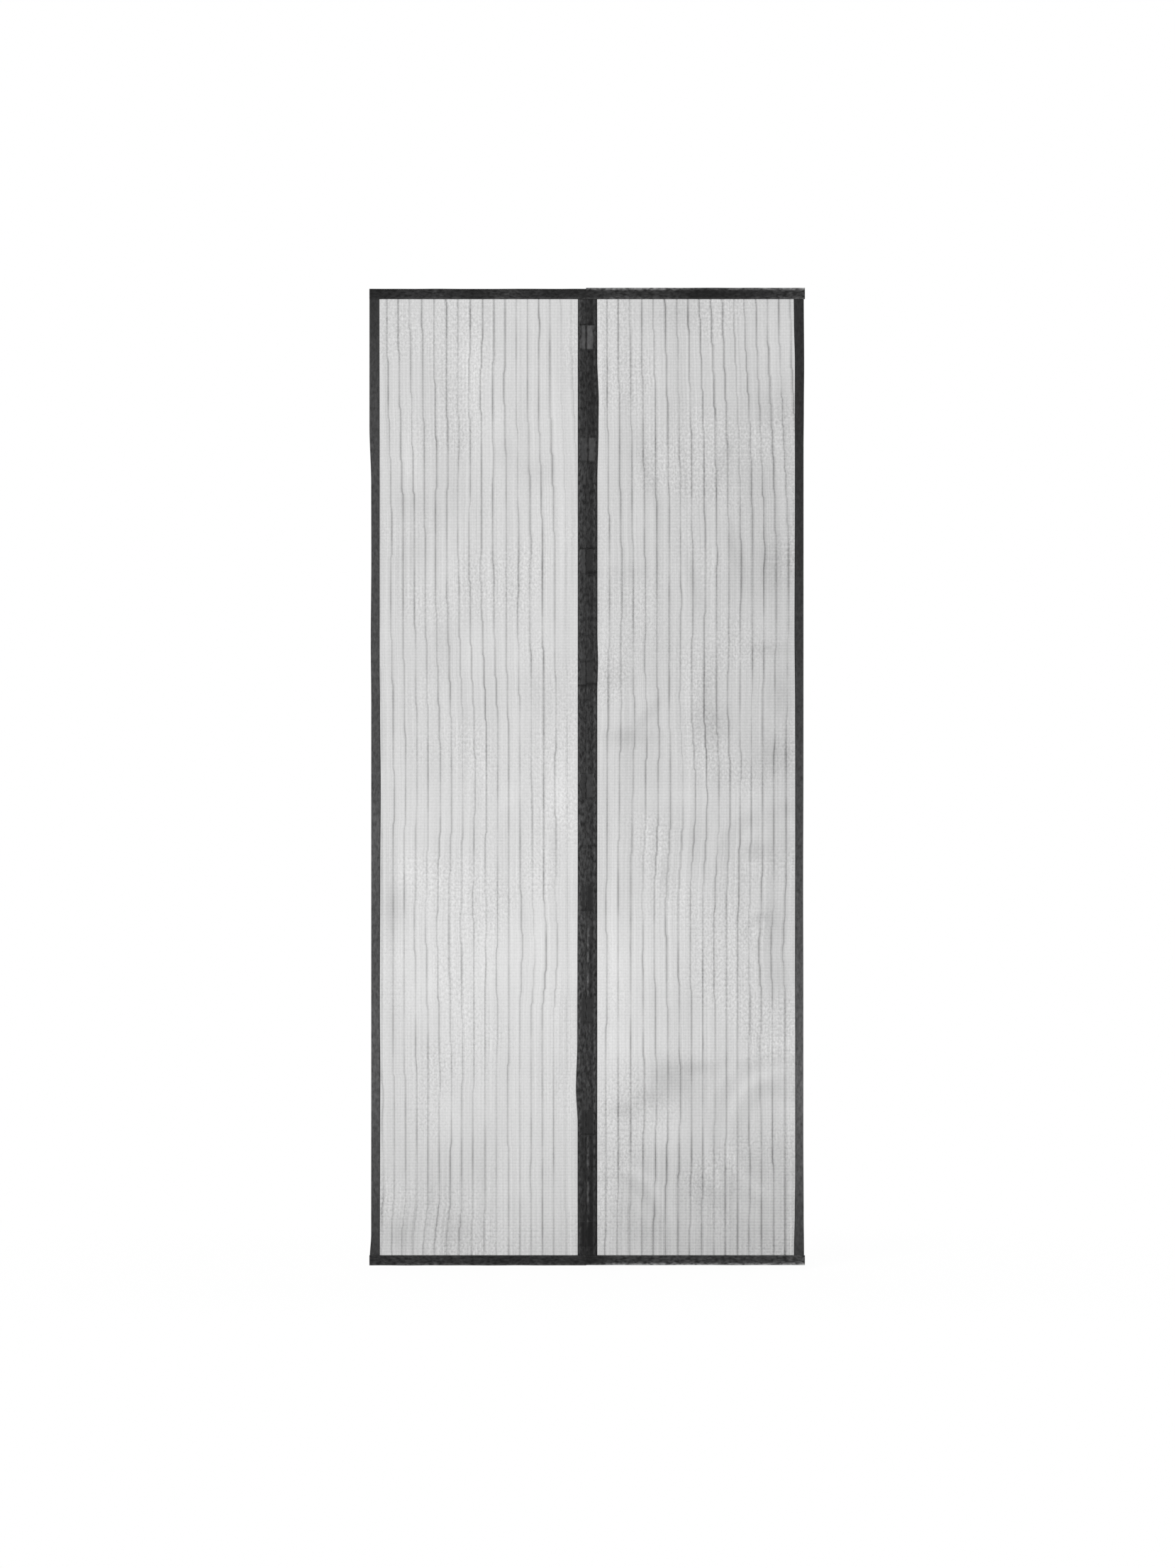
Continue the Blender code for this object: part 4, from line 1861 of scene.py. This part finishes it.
def left_panel(at: Measures, finishes: Finishes) -> Panel:
    """The left panel as it hangs in the photograph.

    Args:
        at: The places that the pieces share.
        finishes: The finishes.

    Returns:
        The panel, ready to be made.
    """
    side = Side.LEFT
    net = Net(
        side, at, finishes.net, finishes.rib_yarn,
        origin=-0.4677,
        first=((0.0, 0.0176), (0.62, 0.027), (1.21, 0.032)),
        pitch=((0.0, 0.0258), (0.62, 0.0263), (1.21, 0.0260), (1.8, 0.02575)),
        tones=(
            (0.0, 218), (0.9, 219), (1.2, 222), (1.5, 226), (1.75, 220.5), (2.0, 213),
            (2.16, 206.5),
        ),
        lean=2.0,
        rib_strengths=((0.0, 1.0), (12.0, 1.0), (13.0, 1.35), (14.0, 1.0), (15.0, 0.35)),
        smudges=(
            Smudge(-0.332, 0.208, 0.038, 0.067, -5),
            Smudge(-0.311, 0.344, 0.032, 0.096, -4),
            Smudge(-0.188, 0.360, 0.026, 0.035, -6),
            Smudge(-0.101, 0.400, 0.058, 0.038, -5),
            Smudge(-0.396, 0.476, 0.048, 0.042, -6),
            Smudge(-0.388, 0.583, 0.026, 0.054, -6),
            Smudge(-0.316, 0.783, 0.026, 0.080, -4),
            Smudge(-0.093, 0.911, 0.042, 0.072, -4),
            Smudge(-0.433, 1.382, 0.027, 0.064, -10),
            Smudge(-0.204, 1.350, 0.051, 0.035, -4),
            Smudge(-0.340, 2.012, 0.054, 0.096, -5),
            Smudge(-0.305, 2.111, 0.038, 0.042, -7),
            Smudge(-0.420, 2.116, 0.035, 0.035, -7),
            Smudge(-0.244, 1.972, 0.032, 0.048, -4),
            Smudge(-0.404, 0.368, 0.024, 0.058, 7),
            Smudge(-0.268, 0.144, 0.038, 0.067, 5),
            Smudge(-0.220, 0.264, 0.054, 0.088, 4),
            Smudge(-0.359, 1.557, 0.038, 0.048, 5),
            Smudge(-0.204, 1.485, 0.054, 0.088, 3),
            Smudge(-0.401, 1.302, 0.032, 0.048, 5),
            Smudge(-0.065, 1.134, 0.022, 0.080, 6),
            Smudge(-0.140, 1.950, 0.064, 0.112, 4),
            Smudge(-0.080, 1.990, 0.025, 0.050, -4),
            Smudge(-0.048, 1.760, 0.030, 0.050, -5),
            Smudge(-0.045, 1.500, 0.020, 0.250, -4.5),
            Smudge(-0.310, 1.850, 0.030, 0.050, 5),
            Smudge(-0.311, 0.450, 0.030, 0.060, -4),
            Smudge(-0.430, 0.600, 0.030, 0.030, -5),
            Smudge(-0.445, 1.440, 0.020, 0.200, -3),
            Smudge(-0.266, 0.800, 0.030, 0.060, 5),
            Smudge(-0.180, 1.130, 0.025, 0.035, 5),
            Smudge(-0.048, 0.770, 0.020, 0.100, -4),
            Smudge(-0.223, 1.400, 0.030, 0.030, -4),
            Smudge(-0.395, 2.080, 0.020, 0.060, -4),
        ),
        pulls=(
            Pull(10.0, 0.041, 7.5, 0.20, 0.008),
            Pull(7.5, 0.640, 7.0, 0.36, -0.0085),
            Pull(13.0, 1.477, 3.5, 0.16, 0.008),
            Pull(4.0, 1.450, 5.0, 0.30, -0.005),
            Pull(3.5, 2.150, 6.0, 0.12, -0.010),
        ),
    )
    binding = SideBinding(
        side, at, finishes.side_tape,
        folds=(
            (0.0, PANEL_EDGE), (0.296, PANEL_EDGE), (0.43, 0.4864), (0.6, 0.4861), (0.78, 0.4873),
            (0.93, 0.4862), (1.8, 0.4862), (2.116, 0.4864), (2.175, 0.4896),
        ),
        edges=(
            (0.0, 0.4677), (0.35, 0.4672), (0.83, 0.4672), (0.93, 0.4662), (1.12, 0.4646),
            (1.31, 0.4657), (1.6, 0.4666), (1.77, 0.4656), (1.88, 0.4660), (2.18, 0.4667),
        ),
        tones=(
            (0.0, 58), (0.2, 73), (0.4, 77), (0.7, 79.5), (0.9, 81), (1.08, 83), (1.23, 93),
            (1.43, 84), (1.52, 84), (1.65, 90), (1.78, 88.5), (1.95, 80), (2.08, 69), (2.18, 58),
        ),
    )
    closing = ClosingTape(
        side, at, finishes.closing_tape,
        edges=(
            (0.0, 0.0212), (1.3, 0.0213), (1.5, 0.0220), (1.69, 0.0223), (1.787, 0.0253),
            (1.87, 0.0216), (2.16, 0.0215),
        ),
        tones=(
            (0.0, 60), (0.05, 60), (0.22, 55), (0.48, 62), (0.98, 59), (1.24, 66.5),
            (1.5, 64.5), (1.74, 60), (2.0, 48), (2.16, 44),
        ),
        # Painted light and shade on the closing tape: across its ridges, on each pad, at its
        # seams and at each crease.
        ridges=((0.0, 4), (0.0015, 9), (0.0045, 10), (0.0075, 4), (0.011, -1), (0.019, 0)),
        pad_tone_and_light=(86, 71, 69, 64.5, 59.5, 53, 54.5, 48.5, 36.5),
        end_shades=(0.15, 0.3),
        crease_shades=((0.378, 0.35), (0.8825, 0.75)),
    )
    head = CrossTape(
        side, at, finishes.cross_tape,
        fold_z=at.top,
        edge_z=at.head_foot - HEAD_DROP,
        starts=0.00235,
        tones=((0.0, 46), (0.05, 47), (0.12, 50), (0.18, 61), (0.25, 43), (0.34, 54), (0.49, 42)),
        # Painted shade on the fold and painted light on the sewn edge.
        fold_light=-0.5,
        fold_band=0.0048,
        edge_light=1.0,
    )
    hem = CrossTape(
        side, at, finishes.cross_tape,
        fold_z=at.foot - HEM_SAG - LEFT_HEM_DROP,
        edge_z=at.hem_top - HEM_SAG,
        starts=0.00235,
        tones=((0.0, 46), (0.07, 51), (0.2, 46.5), (0.35, 52.5), (0.49, 49)),
        # Painted light on the fold.
        fold_light=1.5,
    )
    return Panel(side, at, finishes, net, binding, closing, head, hem)


def right_panel(at: Measures, finishes: Finishes) -> Panel:
    """The right panel as it hangs in the photograph.

    Args:
        at: The places that the pieces share.
        finishes: The finishes.

    Returns:
        The panel, ready to be made.
    """
    side = Side.RIGHT
    net = Net(
        side, at, finishes.net, finishes.rib_yarn,
        origin=0.02155,
        first=((0.0, 0.023), (0.62, 0.028), (1.21, 0.023), (1.8, 0.020)),
        pitch=((0.0, 0.02575), (0.62, 0.0269)),
        tones=(
            (0.0, 213.5), (0.6, 211.5), (1.2, 213), (1.5, 218.5), (1.68, 217.5), (1.8, 213),
            (2.0, 205), (2.16, 197),
        ),
        lean=-8.5,
        strengths=((0.0, 1.05), (1.0, 0.97), (2.1, 1.0)),
        smudges=(
            Smudge(0.0926, 1.10, 0.014, 2.60, -3.5),
            Smudge(0.440, 0.105, 0.070, 0.120, 6),
            Smudge(0.187, 0.041, 0.096, 0.038, -6),
            Smudge(0.410, 0.256, 0.064, 0.048, -6),
            Smudge(0.139, 0.409, 0.019, 0.080, -9, 0.25),
            Smudge(0.219, 0.419, 0.018, 0.064, -6),
            Smudge(0.299, 0.392, 0.019, 0.072, -8, -0.3),
            Smudge(0.380, 0.450, 0.060, 0.080, -5),
            Smudge(0.420, 0.607, 0.055, 0.096, -12),
            Smudge(0.340, 0.595, 0.021, 0.083, -8, 0.3),
            Smudge(0.235, 0.636, 0.016, 0.070, -7, 0.25),
            Smudge(0.091, 0.627, 0.058, 0.022, -5),
            Smudge(0.283, 0.965, 0.056, 0.050, -12),
            Smudge(0.267, 0.887, 0.022, 0.067, -6, -0.2),
            Smudge(0.429, 1.038, 0.051, 0.048, -11),
            Smudge(0.091, 0.998, 0.074, 0.022, -9),
            Smudge(0.132, 0.952, 0.019, 0.048, -8, -0.8),
            Smudge(0.062, 0.863, 0.042, 0.029, -6),
            Smudge(0.404, 0.799, 0.054, 0.016, -8),
            Smudge(0.382, 1.254, 0.048, 0.030, -9),
            Smudge(0.440, 1.165, 0.045, 0.022, -6),
            Smudge(0.399, 1.441, 0.050, 0.050, -5),
            Smudge(0.429, 1.533, 0.034, 0.058, -9),
            Smudge(0.190, 1.763, 0.060, 0.048, -14),
            Smudge(0.085, 1.838, 0.036, 0.020, -11),
            Smudge(0.140, 1.810, 0.038, 0.024, -11),
            Smudge(0.222, 1.613, 0.032, 0.096, -5, -0.2),
            Smudge(0.083, 1.517, 0.070, 0.144, 4),
            Smudge(0.083, 1.693, 0.064, 0.064, 5),
            Smudge(0.163, 1.892, 0.064, 0.042, 5),
            Smudge(0.251, 2.020, 0.048, 0.054, -8),
            Smudge(0.123, 2.108, 0.080, 0.035, -6),
            Smudge(0.426, 1.889, 0.070, 0.080, -4),
            Smudge(0.435, 0.910, 0.035, 0.070, -8),
            Smudge(0.430, 1.410, 0.035, 0.050, -6),
            Smudge(0.179, 1.313, 0.018, 0.045, -7),
            Smudge(0.045, 1.300, 0.020, 0.080, 4),
            Smudge(0.048, 1.750, 0.020, 0.350, 3.5),
            Smudge(0.222, 0.950, 0.014, 0.450, 4),
            Smudge(0.093, 0.240, 0.020, 0.035, -6),
            Smudge(0.394, 1.400, 0.025, 0.040, -5),
            Smudge(0.250, 1.742, 0.050, 0.016, -9),
            Smudge(0.335, 1.732, 0.040, 0.014, -5),
            Smudge(0.098, 2.060, 0.035, 0.070, -7),
            Smudge(0.200, 1.130, 0.100, 0.025, 4),
            Smudge(0.360, 1.130, 0.060, 0.030, 5),
            Smudge(0.312, 2.030, 0.025, 0.035, -10),
            Smudge(0.440, 2.120, 0.030, 0.040, 5),
            Smudge(0.049, 2.130, 0.030, 0.040, 4),
            Rings(0.426, 1.889, 0.0654, 0.260, 7, 0.102, 0.82),
            Rings(0.046, 2.108, 0.0575, 0.210, 7, 0.118),
            Rings(0.382, 1.254, 0.072, 0.130, 6),
            Rings(0.399, 1.441, 0.042, 0.080, 6, 0.040),
        ),
        pulls=(
            Pull(7.0, 1.140, 7.0, 0.24, 0.0115),
            Pull(6.0, 1.800, 7.0, 0.34, 0.007),
            Pull(8.5, 0.230, 9.0, 0.30, 0.004),
            Pull(14.0, 1.477, 4.0, 0.12, -0.006),
            Pull(3.0, 0.960, 4.0, 0.14, 0.005),
        ),
    )
    binding = SideBinding(
        side, at, finishes.side_tape,
        folds=(
            (0.0, 0.4878), (0.16, 0.4887), (0.26, 0.4880), (0.35, 0.4873), (1.02, 0.4871),
            (1.35, 0.4864), (1.55, 0.4868), (1.9, 0.4868), (2.07, 0.4876), (2.16, 0.4884),
        ),
        edges=(
            (0.0, 0.4650), (0.06, 0.4656), (0.16, 0.4677), (0.45, 0.4677), (0.76, 0.4668),
            (0.93, 0.4680), (1.12, 0.4686), (1.5, 0.4679), (1.8, 0.4686), (1.98, 0.4684),
            (2.07, 0.4674), (2.16, 0.4655),
        ),
        tones=(
            (0.0, 51), (0.2, 52.5), (0.5, 55.5), (0.75, 61.5), (0.95, 68.5), (1.08, 73.5),
            (1.25, 76), (1.4, 81), (1.6, 88), (1.78, 96), (1.95, 83), (2.08, 71), (2.18, 60),
        ),
    )
    closing = ClosingTape(
        side, at, finishes.closing_tape,
        edges=(
            (0.0, 0.0226), (0.15, 0.0230), (0.24, 0.0262), (0.31, 0.0256), (0.42, 0.0232),
            (0.76, 0.0232), (0.83, 0.0245), (0.90, 0.0230), (1.5, 0.0229), (2.16, 0.0229),
        ),
        tones=(
            (0.0, 48), (0.22, 49), (0.48, 54), (0.735, 53.5), (0.98, 59), (1.24, 59.5),
            (1.5, 58.5), (1.74, 60.5), (2.0, 46), (2.16, 42),
        ),
        # Painted light and shade on the closing tape: across its ridges, on each pad, at its
        # seams, at each crease and along the lit streaks.
        ridges=(
            (0.0, -4), (0.0033, 0), (0.005, 8), (0.007, 11), (0.009, 4), (0.011, -6),
            (0.0135, -5), (0.018, 1), (0.0225, 3),
        ),
        pad_tone_and_light=(92, 78, 52.5, 58, 67.5, 48, 55, 48, 34.5),
        end_shades=(0.25, 0.45),
        crease_shades=((0.381, 0.4), (0.573, 0.6), (0.627, 0.8), (0.8785, 0.75)),
        glints=((1.41, 1.59), (1.89, 2.13)),
    )
    _, head_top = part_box("right_head_binding")
    head = CrossTape(
        side, at, finishes.cross_tape,
        fold_z=head_top.z,
        edge_z=at.head_foot - HEAD_DROP,
        starts=-0.00245,
        tones=((0.0, 47), (0.07, 57), (0.17, 54), (0.26, 38), (0.35, 46), (0.49, 61)),
        # Painted light on the fold and on the sewn edge.
        fold_light=7.0,
        edge_light=1.8,
    )
    hem = CrossTape(
        side, at, finishes.cross_tape,
        fold_z=at.foot - HEM_SAG,
        edge_z=at.hem_top - HEM_SAG,
        starts=-0.00245,
        tones=((0.0, 37), (0.08, 57.5), (0.2, 58.5), (0.3, 57), (0.42, 59), (0.49, 68)),
        # Painted light on the fold.
        fold_light=5.0,
    )
    return Panel(side, at, finishes, net, binding, closing, head, hem)


# Studio

WHITE = (1.0, 1.0, 1.0, 1.0)
PALE = (0.95, 0.95, 0.95)


@dataclass
class Studio:
    """Plain white surroundings, a pale floor, soft light and the camera."""

    at: Measures
    frame_height: float = 3.531
    lens: float = 100.0
    sky: float = 0.62
    key: float = 1.75
    key_from: tuple[float, float, float] = (-1.6, -3.6, 3.4)
    key_soft: float = 24.0
    floor_drop: float = 0.012
    floor_white: float = 0.95
    floor_reach: Stop = (1.9, 1.1)
    sensor: float = 36.0
    front_y: float = -0.0057
    camera_x: float = 0.0008
    camera_z: float = -1.104

    def seen(self, recipe: Recipe) -> Value:
        """Tells the rays that see the white surroundings: camera, gloss and glass.

        Args:
            recipe: Where the nodes go.

        Returns:
            1 for such a ray and 0 for the rest.
        """
        path = recipe.node("ShaderNodeLightPath")
        kinds = ("Camera", "Glossy", "Transmission")
        view, gloss, glass = (Value(recipe, path.outputs[f"Is {kind} Ray"]) for kind in kinds)
        return view.at_least(gloss).at_least(glass)

    def light(self) -> None:
        """Sets the world and a soft key from above on the left."""
        world = bpy.data.worlds.new("Studio")
        world.use_nodes = True
        recipe = Recipe(world.node_tree)
        soft, white = (
            recipe.node("ShaderNodeBackground", {}, {"Color": WHITE, "Strength": strength})
            for strength in (self.sky, 1.0)
        )
        recipe.output(recipe.between(self.seen(recipe), soft, white), "World")
        bpy.context.scene.world = world
        lamp = bpy.data.lights.new("Key", "SUN")
        lamp.angle = math.radians(self.key_soft)
        lamp.energy = self.key
        key = bpy.data.objects.new("Key", lamp)
        key.location = self.key_from
        key.rotation_euler = (-key.location).to_track_quat("-Z", "Y").to_euler()
        bpy.context.scene.collection.objects.link(key)

    def floor(self) -> None:
        """Lays the pale floor just under the hems."""
        level = self.at.foot - self.floor_drop
        mesh = bpy.data.meshes.new("Floor")
        wide, deep = self.floor_reach
        corners = [(-wide, -deep), (wide, -deep), (wide, deep), (-wide, deep)]
        mesh.from_pydata([(x, y, level) for x, y in corners], [], [(0, 1, 2, 3)])
        material, recipe = Recipe.finish("Pale floor")
        x, y, _ = recipe.solid_place()
        inside = (x.size() / wide).ramp(0.45, 0.97, 1.0, 0.0)
        inside = inside * (y.size() / deep).ramp(0.3, 0.97, 1.0, 0.0)
        haze = recipe.cloud(recipe.vector(x, y, 0.0), 2.0)
        paint = recipe.shaded(PALE, 1.0 + haze * 0.02)
        plain = recipe.node("ShaderNodeBsdfDiffuse", {}, {"Color": paint})
        white = recipe.node("ShaderNodeEmission", {}, {"Strength": 1.0})
        share = self.seen(recipe) * (1.0 - inside * (1.0 - self.floor_white))
        recipe.output(recipe.between(share, plain, white))
        mesh.materials.append(material)
        floor = bpy.data.objects.new("Floor", mesh)
        bpy.context.scene.collection.objects.link(floor)

    def camera(self) -> None:
        """Stands the camera straight in front, at the photograph's distance."""
        data = bpy.data.cameras.new("Camera")
        data.lens = self.lens
        data.sensor_width = self.sensor
        data.clip_end = 100.0
        camera = bpy.data.objects.new("Camera", data)
        away = self.frame_height * self.lens / self.sensor
        camera.location = (self.camera_x, self.front_y - away, self.camera_z)
        camera.rotation_euler = (math.pi / 2, 0.0, 0.0)
        bpy.context.scene.collection.objects.link(camera)
        bpy.context.scene.camera = camera

    def make(self) -> None:
        """Sets it all up."""
        bpy.context.scene.view_settings.view_transform = "Standard"
        self.light()
        self.floor()
        self.camera()


def main() -> None:
    """Builds the screen and the studio."""
    at = Measures.read()
    Studio(at).make()
    finishes = Finishes.mix()
    left_panel(at, finishes).make()
    right_panel(at, finishes).make()
    for node in ("head_hook_strip", "left_jamb_hook_strip", "right_jamb_hook_strip"):
        dress(node, finishes.hook)


if __name__ == "__main__":
    main()
